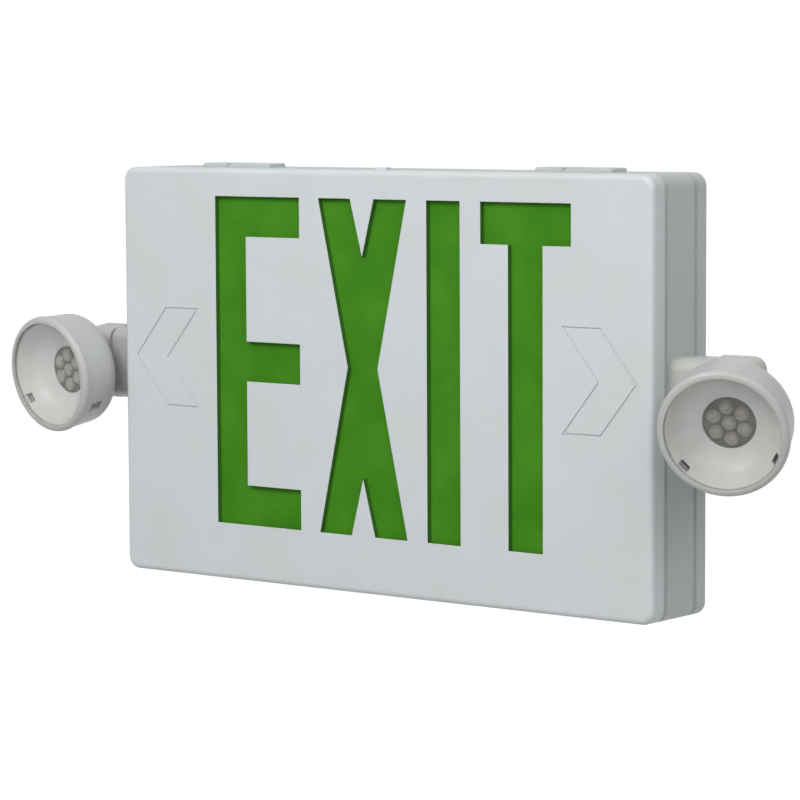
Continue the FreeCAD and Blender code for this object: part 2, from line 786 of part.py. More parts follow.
def electronics():
    """Circuit board with the charger and transfer parts, and its screws."""
    left = BOARD_X - D.board_width / 2
    right = BOARD_X + D.board_width / 2
    board = Piece("circuit_board")
    outline = board.on(WALL_PLANE, BOARD_BACK).rectangle(
        BOARD_X, BOARD_MIDDLE, D.board_width, D.board_height, D.edge_rounding)
    board_holes(outline, SCREW_HOLE)
    board.pad(outline, D.board_thickness)
    screws = Piece("board_screws")
    screws.pad(board_holes(screws.on(WALL_PLANE, BOARD_FRONT), D.screw_head_radius),
               D.screw_head_height)
    screws.pad(board_holes(screws.on(WALL_PLANE, D.plate_floor + D.screw_head_height),
                           D.screw_radius),
               BOARD_FRONT - D.plate_floor - D.screw_head_height)
    core_x = right - D.board_hole_inset - D.core_width / 2
    core_z = BOARD_MIDDLE
    core = on_board("transformer_core", core_x, core_z, D.core_width, D.core_height,
                    D.core_depth)
    core.pocket(core.on(WALL_PLANE, BOARD_FRONT).rectangle(
        core_x, core_z, D.coil_width, D.core_height), D.coil_depth)
    coil = on_board("transformer_coil", core_x, core_z, D.coil_width, D.coil_height,
                    D.coil_depth, D.edge_rounding)
    coil.fillet(lies_at("Y", -(BOARD_FRONT + D.coil_depth).value), D.seam_chamfer)
    row_z = BOARD_LOW + D.board_hole_inset * 3
    capacitors = Piece("capacitors")
    rounds = capacitors.on(WALL_PLANE, BOARD_FRONT)
    for i in range(3):
        rounds.circle(right - D.board_hole_inset * 2 - D.capacitor_pitch * i,
                      row_z + D.capacitor_radius, D.capacitor_radius)
    capacitors.pad(rounds, D.capacitor_height)
    capacitors.fillet(lies_at("Y", -(BOARD_FRONT + D.capacitor_height).value),
                      D.seam_chamfer)
    on_board("transfer_relay", left + D.board_hole_inset * 2 + D.relay_width / 2,
             core_z, D.relay_width, D.relay_height, D.relay_depth, D.seam_chamfer)
    terminal_z = BOARD_HIGH - D.terminal_height / 2
    terminals = on_board("terminal_block", BOARD_X - D.terminal_width / 2,
                         terminal_z, D.terminal_width, D.terminal_height,
                         D.terminal_depth)
    ways = terminals.on(WALL_PLANE, BOARD_FRONT + D.terminal_depth)
    for i in range(3):
        ways.circle(BOARD_X - D.terminal_width / 2
                    + D.terminal_width / 3 * (i - 1), terminal_z, D.screw_radius)
    terminals.pocket(ways, D.terminal_depth / 2, towards=-1)


def connector_x(index):
    return BOARD_X + D.connector_size + D.connector_pitch * index


def connectors():
    """Pin headers of the two lamp leads and of the battery lead."""
    piece = Piece("lead_connectors")
    blocks = piece.on(WALL_PLANE, BOARD_FRONT)
    for index in range(2):
        blocks.rectangle(connector_x(index), BOARD_HIGH - D.connector_size / 2,
                         D.connector_size, D.connector_size)
    blocks.rectangle(BOARD_X - D.board_width / 2 + D.connector_size / 2,
                     BATTERY_PLUG, D.connector_size, D.connector_size)
    piece.pad(blocks, D.connector_size)


def battery():
    """Three shrink-wrapped cells under a spring strap."""
    pack = Piece("battery_pack")
    centre = D.plate_floor + D.cell_radius
    pitch = D.cell_radius * 2 - D.lip_clearance
    for row in (-1, 0, 1):
        end = pack.on(SIDE_PLANE, BATTERY_X - D.cell_length / 2)
        end.circle(-centre, BATTERY_Z + pitch * row, D.cell_radius)
        pack.pad(end, D.cell_length)
    strap = Piece("battery_strap")
    side = pitch + D.cell_radius + D.lip_clearance
    over = D.plate_floor + D.cell_radius * 2 + D.lip_clearance
    low, outer = D.plate_floor, side + D.clip_thickness
    foot = outer + D.clip_foot
    profile = [(low, -foot), (low, -side), (over, -side), (over, side), (low, side),
               (low, foot), (low + D.clip_thickness, foot),
               (low + D.clip_thickness, outer), (over + D.clip_thickness, outer),
               (over + D.clip_thickness, -outer), (low + D.clip_thickness, -outer),
               (low + D.clip_thickness, -foot)]
    section = strap.on(SIDE_PLANE, BATTERY_X - D.clip_width / 2)
    section.outline([(-depth, BATTERY_Z + up) for depth, up in profile])
    strap.pad(section, D.clip_width)


def controls():
    """Test switch on the board's lower edge, its button, and the charge indicator."""
    x, y = BOARD_X, -D.button_depth
    edge = BOARD_LOW
    reach = (D.button_depth - BOARD_FRONT) * 2
    switch = Piece("test_switch")
    switch.pad(switch.on(LEVEL_PLANE, edge).rectangle(x, y, D.switch_width, reach),
               D.switch_height)
    switch.pocket(switch.on(LEVEL_PLANE, edge).circle(
        x, y, D.plunger_radius + D.button_play),
        D.plunger_seat + D.button_travel + D.swivel_gap)
    tip = edge - D.button_travel - D.swivel_gap
    plunger = Piece("switch_plunger")
    plunger.pad(plunger.on(LEVEL_PLANE, tip).circle(x, y, D.plunger_radius),
                D.plunger_seat + D.button_travel + D.swivel_gap)
    button = Piece("test_button")
    bottom = D.button_recess - HALF_HEIGHT
    button.pad(button.on(LEVEL_PLANE, bottom).circle(x, y, D.button_radius), tip - bottom)
    button.fillet(lies_at("Z", bottom.value), D.seam_chamfer)
    seat = D.wall - HALF_HEIGHT + D.lip_clearance
    button.pad(button.on(LEVEL_PLANE, seat).circle(
        x, y, D.button_radius + D.button_shoulder), D.button_shoulder)
    indicator = Piece("charge_indicator")
    beside = x - D.indicator_offset
    indicator.pad(indicator.on(LEVEL_PLANE, bottom).circle(beside, y, D.indicator_radius),
                  edge - bottom)
    indicator.fillet(lies_at("Z", bottom.value), D.seam_chamfer)
    indicator.pad(indicator.on(LEVEL_PLANE, D.wall - HALF_HEIGHT).circle(
        beside, y, D.indicator_radius + D.button_shoulder), D.button_shoulder)


# ---------------------------------------------------------------- lamp support
def seat_placement(side):
    """Where a lamp's fixed bracket meets the frame's side wall."""
    return ("placement(vector({0} * Sizes.housing_width / 2; -1 * Sizes.pivot_depth;"
            " Sizes.lamp_level); rotation(vector(0; 0; 1); 0))").format(side)


def pivot_placement(side, tilt, pan=None):
    """The lamp's pivot, tilted about X and then panned about its own upright axis."""
    turn = f"rotation(vector(1; 0; 0); Sizes.{tilt})"
    if pan:
        turn += f" * rotation(vector(0; 0; 1); {side} * Sizes.{pan})"
    return (f"placement(vector({side} * (Sizes.housing_width / 2 + Sizes.pivot_reach);"
            f" -1 * Sizes.pivot_depth; Sizes.lamp_level); {turn})")


def knuckle_section(sketch):
    middle = (D.knuckle_rear - D.knuckle_front) / 2
    return sketch.rectangle(middle, 0, D.knuckle_rear + D.knuckle_front,
                            D.knuckle_height, D.knuckle_rounding)


def bracket(name, side):
    """Fixed rounded arm on the side wall, bored for the knuckle's spigot."""
    piece = Piece(name + "_bracket", seat_placement(side))
    reach = D.pivot_reach - D.knuckle_inner - D.swivel_gap
    piece.pad(knuckle_section(piece.on(SIDE_PLANE, 0)), reach, side)
    piece.fillet(lies_at("X", reach.value * side), D.seam_chamfer)
    piece.pocket(piece.on(SIDE_PLANE, 0).circle(0, 0, D.spigot_radius + D.spigot_play),
                 reach, side)
    pilots = piece.on(SIDE_PLANE, 0)
    for up in (-1, 1):
        pilots.circle(0, D.bracket_screw_height * up, SCREW_HOLE)
    piece.pocket(pilots, D.bracket_screw_reach + D.wall, side)
    screws = Piece(name + "_bracket_screws", seat_placement(side))
    heads = screws.on(SIDE_PLANE, -(D.wall + D.screw_head_height) * side)
    shafts = screws.on(SIDE_PLANE, -D.wall * side)
    for up in (-1, 1):
        heads.circle(0, D.bracket_screw_height * up, D.screw_head_radius)
        shafts.circle(0, D.bracket_screw_height * up, D.screw_radius)
    screws.pad(heads, D.screw_head_height, side)
    screws.pad(shafts, D.wall + D.bracket_screw_reach, side)


def knuckle(name, side):
    """Forked knuckle that tilts in the bracket and holds the head's pivot pin."""
    place = pivot_placement(side, name + "_tilt")
    piece = Piece(name + "_knuckle", place)
    half = D.knuckle_height / 2
    inner = D.knuckle_inner * side
    piece.pad(knuckle_section(piece.on(SIDE_PLANE, -inner)), D.knuckle_inner, side)
    rear = piece.on(SIDE_PLANE, 0).outline([
        (ZERO, -half, ZERO), (D.knuckle_rear, -half, D.knuckle_rounding),
        (D.knuckle_rear, half, D.knuckle_rounding), (ZERO, half, ZERO)])
    piece.pad(rear, D.knuckle_front, side)
    at_end = lies_at("X", D.knuckle_front.value * side)
    piece.fillet(lambda edge: at_end(edge) and edge.BoundBox.YMax > D.seat_play.value,
                 D.knuckle_end_rounding)
    nose = piece.on(WALL_PLANE, 0).outline([
        (ZERO, -half, ZERO), (D.knuckle_front, -half, D.knuckle_end_rounding),
        (D.knuckle_front, half, D.knuckle_end_rounding), (ZERO, half, ZERO)])
    piece.turn(nose, "V_Axis")
    web = D.knuckle_inner - D.knuckle_web
    mouth_back = D.knuckle_rear - D.knuckle_back
    mouth_width = web + D.knuckle_front * 2
    mouth_depth = mouth_back + D.knuckle_front * 2
    mouth = piece.on(LEVEL_PLANE, -D.fork_gap / 2).rectangle(
        (mouth_width / 2 - web) * side, mouth_back - mouth_depth / 2,
        mouth_width, mouth_depth)
    piece.pocket(mouth, D.fork_gap)
    reach = (D.pivot_reach + D.wall + D.swivel_gap + D.ring_thickness + D.spigot_end
             - D.knuckle_inner)
    piece.pad(piece.on(SIDE_PLANE, -inner).circle(0, 0, D.spigot_radius), reach, -side)
    piece.pocket(piece.on(SIDE_PLANE, -inner - reach * side).circle(
        0, 0, D.spigot_bore), reach + D.knuckle_web, side)
    head_seat = D.pin_head_height + D.swivel_gap
    piece.pocket(piece.on(LEVEL_PLANE, -half).circle(
        0, 0, D.pin_radius + D.seat_play), D.knuckle_height - D.knuckle_web)
    piece.pocket(piece.on(LEVEL_PLANE, -half).circle(
        0, 0, D.pin_head_radius + D.swivel_gap), head_seat)

    ring = Piece(name + "_retaining_ring", place)
    ring_inner = D.pivot_reach + D.wall + D.swivel_gap
    blank = ring.on(SIDE_PLANE, -ring_inner * side)
    blank.circle(0, 0, D.ring_radius)
    blank.circle(0, 0, D.spigot_radius + D.seat_play)
    ring.pad(blank, D.ring_thickness, -side)

    pin = Piece(name + "_pivot_pin", place)
    pin_low = head_seat - half
    pin.pad(pin.on(LEVEL_PLANE, pin_low).circle(0, 0, D.pin_head_radius),
            D.pin_head_height, -1)
    pin.pad(pin.on(LEVEL_PLANE, pin_low).circle(0, 0, D.pin_radius),
            D.knuckle_height - D.knuckle_web - head_seat - D.swivel_gap)


# ---------------------------------------------------------------- lamp head
def turned(label, place, profile):
    """A piece turned about the lamp's axis from (radius, distance ahead) corners."""
    piece = Piece(label, place)
    sketch = piece.on(LEVEL_PLANE, 0)
    sketch.outline([(c[0], -Length.of(c[1])) + tuple(c[2:]) for c in profile])
    piece.turn(sketch, "V_Axis")
    return piece


def lamp_head(name, side):
    """Shell and its arm, heat sink, board, emitters, reflector, lens and bezel."""
    place = pivot_placement(side, name + "_tilt", name + "_pan")
    shell_front = D.rim_plane - D.bezel_depth
    floor = D.shell_back + D.shell_wall
    inner_front = D.shell_front_radius - D.shell_wall
    inner_back = D.shell_back_radius - D.shell_wall
    shell = turned(name + "_head_shell", place, [
        (ZERO, D.shell_back, ZERO),
        (D.shell_back_radius, D.shell_back, D.shell_rounding),
        (D.shell_front_radius, shell_front, ZERO),
        (inner_front, shell_front, ZERO),
        (inner_back, floor, D.shell_rounding - D.shell_wall),
        (ZERO, floor, ZERO)])
    snap_windows(shell, shell_front - D.snap_setback - D.snap_length, D.snap_length,
                 inner_front, D.shell_wall * 3)
    arm = Piece(name + "_head_arm", place)
    eye_low = D.eye_play - D.fork_gap / 2
    eye_height = D.fork_gap - D.eye_play * 2
    arm.pad(arm.on(WALL_PLANE, D.shell_back - D.arm_flange).circle(
        0, 0, D.arm_flange_radius), D.arm_flange)
    arm.pad(arm.on(LEVEL_PLANE, eye_low).rectangle(
        0, -D.shell_back / 2, D.neck_width, D.shell_back), eye_height)
    arm.pad(arm.on(LEVEL_PLANE, eye_low).circle(0, 0, D.eye_radius), eye_height)
    arm.pocket(arm.on(LEVEL_PLANE, eye_low).circle(
        0, 0, D.pin_radius + D.pin_play), eye_height)

    holder_front = D.rim_plane - D.emitter_depth
    board_front = holder_front - D.emitter_holder
    board_back = board_front - D.lamp_board_thickness
    sink = Piece(name + "_heat_sink", place)
    sink.pad(sink.on(WALL_PLANE, floor).circle(0, 0, D.lamp_board_radius),
             board_back - floor)
    fin = (board_back - floor) / 5
    sink.groove(sink.on(LEVEL_PLANE, 0).rectangle(
        D.lamp_board_radius, -(floor + fin * 1.5), D.shell_wall * 2, fin), "V_Axis")
    sink.groove(sink.on(LEVEL_PLANE, 0).rectangle(
        D.lamp_board_radius, -(floor + fin * 3.5), D.shell_wall * 2, fin), "V_Axis")
    board = Piece(name + "_lamp_board", place)
    board.pad(board.on(WALL_PLANE, board_back).circle(0, 0, D.lamp_board_radius),
              D.lamp_board_thickness)
    holder = Piece(name + "_emitter_holder", place)
    holder.pad(holder.on(WALL_PLANE, board_front).circle(0, 0, D.emitter_radius),
               D.emitter_holder)
    domes = Piece(name + "_emitter_domes", place)
    circles = domes.on(WALL_PLANE, holder_front)
    circles.circle(0, 0, D.dome_radius)
    for step in range(6):
        angle = math.radians(60 * step + 30)
        circles.circle(D.dome_pitch * math.cos(angle), D.dome_pitch * math.sin(angle),
                       D.dome_radius)
    domes.pad(circles, D.dome_radius / 2)
    domes.fillet(foremost(domes), D.dome_radius / 2 - D.seat_play)

    lens_front = D.rim_plane - D.bezel_land
    lens_back = lens_front - D.lens_thickness
    bore = D.bezel_opening + D.bezel_land
    seat = bore - D.lens_play
    hole = D.emitter_radius + D.eye_play
    low = board_front + D.eye_play
    reflector = turned(name + "_reflector", place, [
        (hole, low, ZERO), (hole, low + D.reflector_wall, ZERO),
        (seat - D.shell_rounding, low + D.reflector_wall * 2, D.bowl_rounding),
        (seat - D.bowl_lip, lens_back, ZERO), (seat, lens_back, ZERO),
        (seat, lens_back - D.reflector_wall, ZERO),
        (seat - D.bowl_lip_back, lens_back - D.reflector_wall, ZERO),
        (seat - D.shell_rounding + D.reflector_wall, low + D.reflector_wall,
         D.bowl_rounding + D.reflector_wall)])
    snap_windows(reflector, lens_back - D.snap_length, D.snap_length * 2,
                 seat - D.bowl_lip - D.snap_slot / 2, D.snap_slot)
    lens = Piece(name + "_lamp_lens", place)
    lens.pad(lens.on(WALL_PLANE, lens_back).circle(0, 0, seat), D.lens_thickness)
    turned(name + "_bezel", place, [
        (D.bezel_opening, D.rim_plane, ZERO), (D.rim_radius, D.rim_plane, D.bezel_rounding),
        (D.rim_radius, shell_front, ZERO), (bore, shell_front, ZERO),
        (bore, lens_front, ZERO), (D.bezel_opening, lens_front, ZERO)])


def snap_windows(piece, start, length, radius, reach):
    """Two windows low on either side of a turned piece, for the bezel's snap hooks."""
    slots = piece.on(WALL_PLANE, start)
    for across in (-1, 1):
        cosine = math.cos(math.radians(D.snap_angle.value)) * across
        sine = -math.sin(math.radians(D.snap_angle.value))
        slots.outline([
            ((radius + reach * out) * cosine - D.snap_width / 2 * side * sine * across,
             (radius + reach * out) * sine + D.snap_width / 2 * side * cosine * across)
            for out, side in ((-0.5, -1), (0.5, -1), (0.5, 1), (-0.5, 1))])
    piece.pocket(slots, length)


def foremost(piece):
    """Choose the edges that lie in the piece's front plane, before it is placed."""
    return lies_at("Y", min(edge.BoundBox.YMin for edge in piece.body.Tip.Shape.Edges))


# ---------------------------------------------------------------- leads
def routed(points, radius):
    """A round lead along straight runs that are joined by tangent arcs."""
    points = [FreeCAD.Vector(*p) for p in points]
    edges, start = [], points[0]
    for before, corner, after in zip(points, points[1:], points[2:]):
        back, on = (before - corner), (after - corner)
        shorter = min(back.Length, on.Length)
        back.normalize()
        on.normalize()
        reach = 0.45 * shorter
        enter, leave = corner + back * reach, corner + on * reach
        half = math.acos(max(-1.0, min(1.0, back.dot(on)))) / 2
        bend = reach * math.tan(half)
        inward = (back + on).normalize()
        middle = corner + inward * (bend / math.sin(half) - bend)
        edges += [Part.LineSegment(start, enter).toShape(),
                  Part.Arc(enter, middle, leave).toShape()]
        start = leave
    edges.append(Part.LineSegment(start, points[-1]).toShape())
    path = Part.Wire(edges)
    run = (points[1] - points[0]).normalize()
    ring = Part.Wire(Part.Circle(points[0], run, radius).toShape())
    return path.makePipeShell([ring], True, False)


def lead(label, points):
    """A lead's tube; its route is chosen by hand between the sheet's own places."""
    route = [tuple(Length.of(v).value for v in point) for point in points]
    feature = DOC.addObject("Part::Feature", label)
    feature.Label = label
    feature.Shape = routed(route, D.lead_radius.value)
    PIECES.append(feature)


def leads():
    """The battery's lead and the lead of each lamp, which ends inside its knuckle."""
    exit_depth = -(BOARD_FRONT + D.connector_size / 2)
    bore_end = HALF_WIDTH + D.pivot_reach - D.knuckle_inner
    top = BOARD_HIGH
    for name, side, index in (("left", -1, 0), ("right", 1, 1)):
        x = connector_x(index)
        turn_x = HALF_WIDTH - D.post_inset * 3
        level = D.lamp_level
        points = [(x, exit_depth, top), (x, exit_depth, top + D.lead_rise)]
        if side < 0:
            across = top + D.lead_sweep
            points += [(x - D.lead_step, exit_depth, across),
                       (D.lead_sweep - turn_x, exit_depth, across)]
        points += [(turn_x * side, -D.pivot_depth, level + D.lead_entry_rise),
                   ((HALF_WIDTH - D.post_inset) * side, -D.pivot_depth, level),
                   (bore_end * side, -D.pivot_depth, level)]
        lead(name + "_lamp_lead", points)
    start = BATTERY_X + D.cell_length / 2
    finish = BOARD_X - D.board_width / 2
    depth = -(D.plate_floor + D.cell_radius)
    run, dip = D.battery_lead_run, BATTERY_PLUG - D.battery_lead_start
    lead("battery_lead", [
        (start, depth, BATTERY_Z), (start + D.battery_lead_start, depth, BATTERY_Z),
        (start + run, depth, dip), (finish - run, exit_depth, dip),
        (finish - D.lead_rise, exit_depth, BATTERY_PLUG),
        (finish, exit_depth, BATTERY_PLUG)])


# ---------------------------------------------------------------- assembly
def check_and_export():
    """Stop on any failed feature or bad shape, then write one file per piece."""
    DOC.recompute()
    for item in DOC.Objects:
        if {"Invalid", "Error"} & set(item.State):
            raise RuntimeError(f"{item.Label} did not build: {item.State}")
    for piece in PIECES:
        if piece.Shape.isNull() or not piece.Shape.isValid() or not piece.Shape.Solids:
            raise RuntimeError(f"{piece.Label} has no valid shape")
    os.makedirs("parts", exist_ok=True)
    for piece in PIECES:
        piece.Shape.exportStep(f"parts/{piece.Label}.step")
        print(f"{piece.Label:24s} {len(piece.Shape.Solids)} solid(s)"
              f" {piece.Shape.Volume:10.1f} mm3")


face_cover()
housing_frame()
back_plate()
plate_screws()
light_box()
electronics()
connectors()
battery()
controls()
for lamp_name, lamp_side in (("left", -1), ("right", 1)):
    bracket(lamp_name, lamp_side)
    knuckle(lamp_name, lamp_side)
    lamp_head(lamp_name, lamp_side)
leads()
check_and_export()
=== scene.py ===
"""Emergency exit light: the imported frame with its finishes, small fittings and studio.

Lengths are metres in the row frame: +X to the reader's right, +Z up, the wall at
y = 0 and the sign face towards -Y.
"""

import json
import logging
import math
from dataclasses import dataclass, field
from enum import Enum
from typing import Any, Mapping, Optional, Sequence, Union

import bmesh
import bpy
import numpy as np
from mathutils import Matrix, Vector

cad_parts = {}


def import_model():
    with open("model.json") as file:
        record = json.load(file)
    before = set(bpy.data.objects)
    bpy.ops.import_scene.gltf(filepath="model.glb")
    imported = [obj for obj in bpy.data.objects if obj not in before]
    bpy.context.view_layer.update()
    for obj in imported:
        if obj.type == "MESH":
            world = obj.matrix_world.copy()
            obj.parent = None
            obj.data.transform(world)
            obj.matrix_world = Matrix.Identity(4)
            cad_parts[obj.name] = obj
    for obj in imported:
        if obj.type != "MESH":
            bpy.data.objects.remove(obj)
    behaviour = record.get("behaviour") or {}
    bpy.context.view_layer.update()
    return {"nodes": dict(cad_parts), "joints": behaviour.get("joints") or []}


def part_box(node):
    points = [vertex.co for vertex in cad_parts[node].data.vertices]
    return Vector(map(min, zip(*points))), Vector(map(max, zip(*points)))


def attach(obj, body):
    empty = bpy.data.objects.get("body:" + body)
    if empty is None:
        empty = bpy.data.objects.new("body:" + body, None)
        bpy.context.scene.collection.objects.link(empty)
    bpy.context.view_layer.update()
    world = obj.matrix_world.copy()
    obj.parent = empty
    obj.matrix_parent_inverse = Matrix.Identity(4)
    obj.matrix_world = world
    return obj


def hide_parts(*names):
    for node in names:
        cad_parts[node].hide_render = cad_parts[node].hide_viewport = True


LOG = logging.getLogger("exit_light")
Rgb = tuple[float, float, float]
Number = Union[float, "Value"]
MM = 0.001
RIGHT = Vector((1, 0, 0))
INWARD = Vector((0, 1, 0))
OUTWARD = Vector((0, -1, 0))
UP = Vector((0, 0, 1))
WHITE = (1.0, 1.0, 1.0)
EVENLY = Vector((1, 1, 1))
WELD = 1e-6
SORT_DECIMALS = 5
POINT_DECIMALS = 7
BEVEL_SAMPLES = 6


# ------------------------------------------------------------------ shader maths
class Wrapped:
    """An output socket of a material's graph."""

    def __init__(self, graph: "Graph", socket: bpy.types.NodeSocket) -> None:
        """Keep the graph and the socket.

        Args:
            graph: The graph that the socket belongs to.
            socket: The output socket.
        """
        self.graph = graph
        self.socket = socket


class Value(Wrapped):
    """A number that varies over a surface; arithmetic on it adds Math nodes."""

    def __add__(self, other: Number) -> "Value":
        """Return the sum."""
        return self.graph.math("ADD", self, other)

    __radd__ = __add__

    def __sub__(self, other: Number) -> "Value":
        """Return this less the other."""
        return self.graph.math("SUBTRACT", self, other)

    def __rsub__(self, other: Number) -> "Value":
        """Return the other less this."""
        return self.graph.math("SUBTRACT", other, self)

    def __mul__(self, other: Number) -> "Value":
        """Return the product."""
        return self.graph.math("MULTIPLY", self, other)

    __rmul__ = __mul__

    def __truediv__(self, other: Number) -> "Value":
        """Return this over the other."""
        return self.graph.math("DIVIDE", self, other)

    def __rtruediv__(self, other: Number) -> "Value":
        """Return the other over this."""
        return self.graph.math("DIVIDE", other, self)

    def fraction(self) -> "Value":
        """Return the part after the point."""
        return self.graph.math("FRACT", self)

    def size(self) -> "Value":
        """Return the absolute value."""
        return self.graph.math("ABSOLUTE", self)

    def at_most(self, other: Number) -> "Value":
        """Return the smaller of the two."""
        return self.graph.math("MINIMUM", self, other)

    def at_least(self, other: Number) -> "Value":
        """Return the larger of the two."""
        return self.graph.math("MAXIMUM", self, other)

    def rise(self, low: float, high: float) -> "Value":
        """Return a smooth step from 0 at low to 1 at high.

        Args:
            low: The value at which the step starts.
            high: The value at which the step is complete.

        Returns:
            The step, from 0 to 1.
        """
        made = self.graph.node("ShaderNodeMapRange", {"interpolation_type": "SMOOTHSTEP"},
                               {0: self, 1: low, 2: high, 3: 0.0, 4: 1.0})
        return Value(self.graph, made.outputs[0])


class Place(Wrapped):
    """A vector that varies over a surface; arithmetic on it adds Vector Math nodes."""

    def __sub__(self, other: Union["Place", Vector]) -> "Place":
        """Return this less the other."""
        return self.graph.vector_math("SUBTRACT", self, other)

    def __rsub__(self, other: Union["Place", Vector]) -> "Place":
        """Return the other less this."""
        return self.graph.vector_math("SUBTRACT", other, self)

    def __mul__(self, other: Union["Place", Vector]) -> "Place":
        """Return the product, axis by axis."""
        return self.graph.vector_math("MULTIPLY", self, other)

    __rmul__ = __mul__

    def along(self, axis: Vector) -> Value:
        """Return the distance along an axis."""
        made = self.graph.node("ShaderNodeVectorMath", {"operation": "DOT_PRODUCT"},
                               {0: self, 1: axis})
        return Value(self.graph, made.outputs["Value"])


class Colour(Wrapped):
    """A colour that varies over a surface."""

    def mixed(self, other: Union["Colour", Rgb], share: Number) -> "Colour":
        """Return this colour blended towards another by a share from 0 to 1."""
        return self.graph.blend(self, other, share)


@dataclass(frozen=True)
class Layer:
    """Soft noise: swells per metre, finer layers and their strength, and a step if any."""

    per_metre: float
    detail: float = 2.0
    rough: float = 0.5
    step: tuple[float, ...] = ()


class Graph:
    """The node graph of one material or of the world."""

    def __init__(self, owner: Union[bpy.types.Material, bpy.types.World]) -> None:
        """Empty the owner's node tree.

        Args:
            owner: The material or world that the graph belongs to.
        """
        owner.use_nodes = True
        self.tree = owner.node_tree
        self.tree.nodes.clear()

    def node(self, kind: str, settings: Optional[Mapping[str, Any]] = None,
             values: Optional[Mapping[Union[int, str], Any]] = None) -> bpy.types.Node:
        """Add one node, apply its settings, and then fill its sockets.

        Args:
            kind: The node's type name.
            settings: Its properties.
            values: A number, colour, vector or link for each socket.

        Returns:
            The node.
        """
        made = self.tree.nodes.new(kind)
        for name, setting in (settings or {}).items():
            setattr(made, name, setting)
        for key, given in (values or {}).items():
            socket = made.inputs[key]
            if isinstance(given, Wrapped):
                self.tree.links.new(given.socket, socket)
            elif isinstance(given, bpy.types.NodeSocket):
                self.tree.links.new(given, socket)
            elif socket.type == "RGBA":
                socket.default_value = (*given, 1.0)
            else:
                socket.default_value = given
        return made

    def math(self, operation: str, *operands: Number) -> Value:
        """Add a Math node on the operands and return its result."""
        made = self.node("ShaderNodeMath", {"operation": operation}, dict(enumerate(operands)))
        return Value(self, made.outputs[0])

    def vector_math(self, operation: str, *operands: Union[Place, Vector]) -> Place:
        """Add a Vector Math node on the operands and return its result."""
        made = self.node("ShaderNodeVectorMath", {"operation": operation},
                         dict(enumerate(operands)))
        return Place(self, made.outputs[0])

    def blend(self, first: Union[Colour, Rgb], second: Union[Colour, Rgb],
              share: Number) -> Colour:
        """Return the first colour at share 0 and the second at share 1."""
        made = self.node("ShaderNodeMix", {"data_type": "RGBA"},
                         {0: share, 6: first, 7: second})
        return Colour(self, made.outputs[2])

    def place(self) -> Place:
        """Return the surface point in the row frame at rest."""
        return Place(self, self.node("ShaderNodeTexCoord").outputs["Object"])

    def noise(self, layer: Layer, stretch: Vector = EVENLY) -> Value:
        """Return a layer of soft noise from 0 to 1, after its step.

        Args:
            layer: The layer.
            stretch: A factor on each axis; below 1 draws the swells out.

        Returns:
            The noise.
        """
        made = self.node("ShaderNodeTexNoise", values={
            "Vector": self.place() * stretch, "Scale": layer.per_metre,
            "Detail": layer.detail, "Roughness": layer.rough})
        noise = Value(self, made.outputs[0])
        return noise.rise(*layer.step) if layer.step else noise

    def cells(self, per_metre: float, step: tuple[float, float]) -> Value:
        """Return a step drawn from the distance to the nearest cell's centre."""
        made = self.node("ShaderNodeTexVoronoi", values={"Vector": self.place(),
                                                         "Scale": per_metre})
        return Value(self, made.outputs["Distance"]).rise(*step)

    def facing(self, blend: float) -> Value:
        """Return 0 where clear plastic is seen square on, rising towards its rim."""
        made = self.node("ShaderNodeLayerWeight", values={"Blend": blend})
        return Value(self, made.outputs["Facing"])

    def relief(self, height: Value, depth: float, edge: float = 0.0) -> bpy.types.NodeSocket:
        """Return a normal that follows a height, over softened edges.

        Args:
            height: The height, from 0 to 1.
            depth: The height's full range in millimetres.
            edge: The radius that sharp edges look softened by, in millimetres.

        Returns:
            The normal's output socket.
        """
        values: dict[Union[int, str], Any] = {"Strength": 1.0, "Distance": depth * MM,
                                              "Height": height}
        if edge:
            values["Normal"] = self.node("ShaderNodeBevel", {"samples": BEVEL_SAMPLES},
                                         {"Radius": edge * MM}).outputs[0]
        return self.node("ShaderNodeBump", values=values).outputs[0]

    def surface(self, **values: Any) -> bpy.types.NodeSocket:
        """Return a Principled shader; an underscore in a name stands for a space."""
        named = {name.replace("_", " "): given for name, given in values.items()}
        return self.node("ShaderNodeBsdfPrincipled", values=named).outputs[0]


# ------------------------------------------------------------------ finishes
@dataclass(frozen=True)
class Finish:
    """What a surface is made of; a subclass paints it. Its lengths are millimetres."""

    name: str
    base: Rgb

    def paint(self, graph: Graph) -> bpy.types.NodeSocket:
        """Return the finish's shader, whose nodes are added to the graph."""
        raise NotImplementedError

    def material(self) -> bpy.types.Material:
        """Make the finish's material, once.

        Returns:
            The material.
        """
        title = f"{self.name}_finish"
        made = bpy.data.materials.get(title)
        if made is None:
            made = bpy.data.materials.new(title)
            graph = Graph(made)
            graph.node("ShaderNodeOutputMaterial", values={"Surface": self.paint(graph)})
        return made

    def tinted(self, shares: Rgb) -> Rgb:
        """Return the base colour with a share of each channel."""
        return tuple(channel * share for channel, share in zip(self.base, shares))

    def tone(self, share: float) -> Rgb:
        """Return the base colour scaled by a share."""
        return self.tinted((share, share, share))


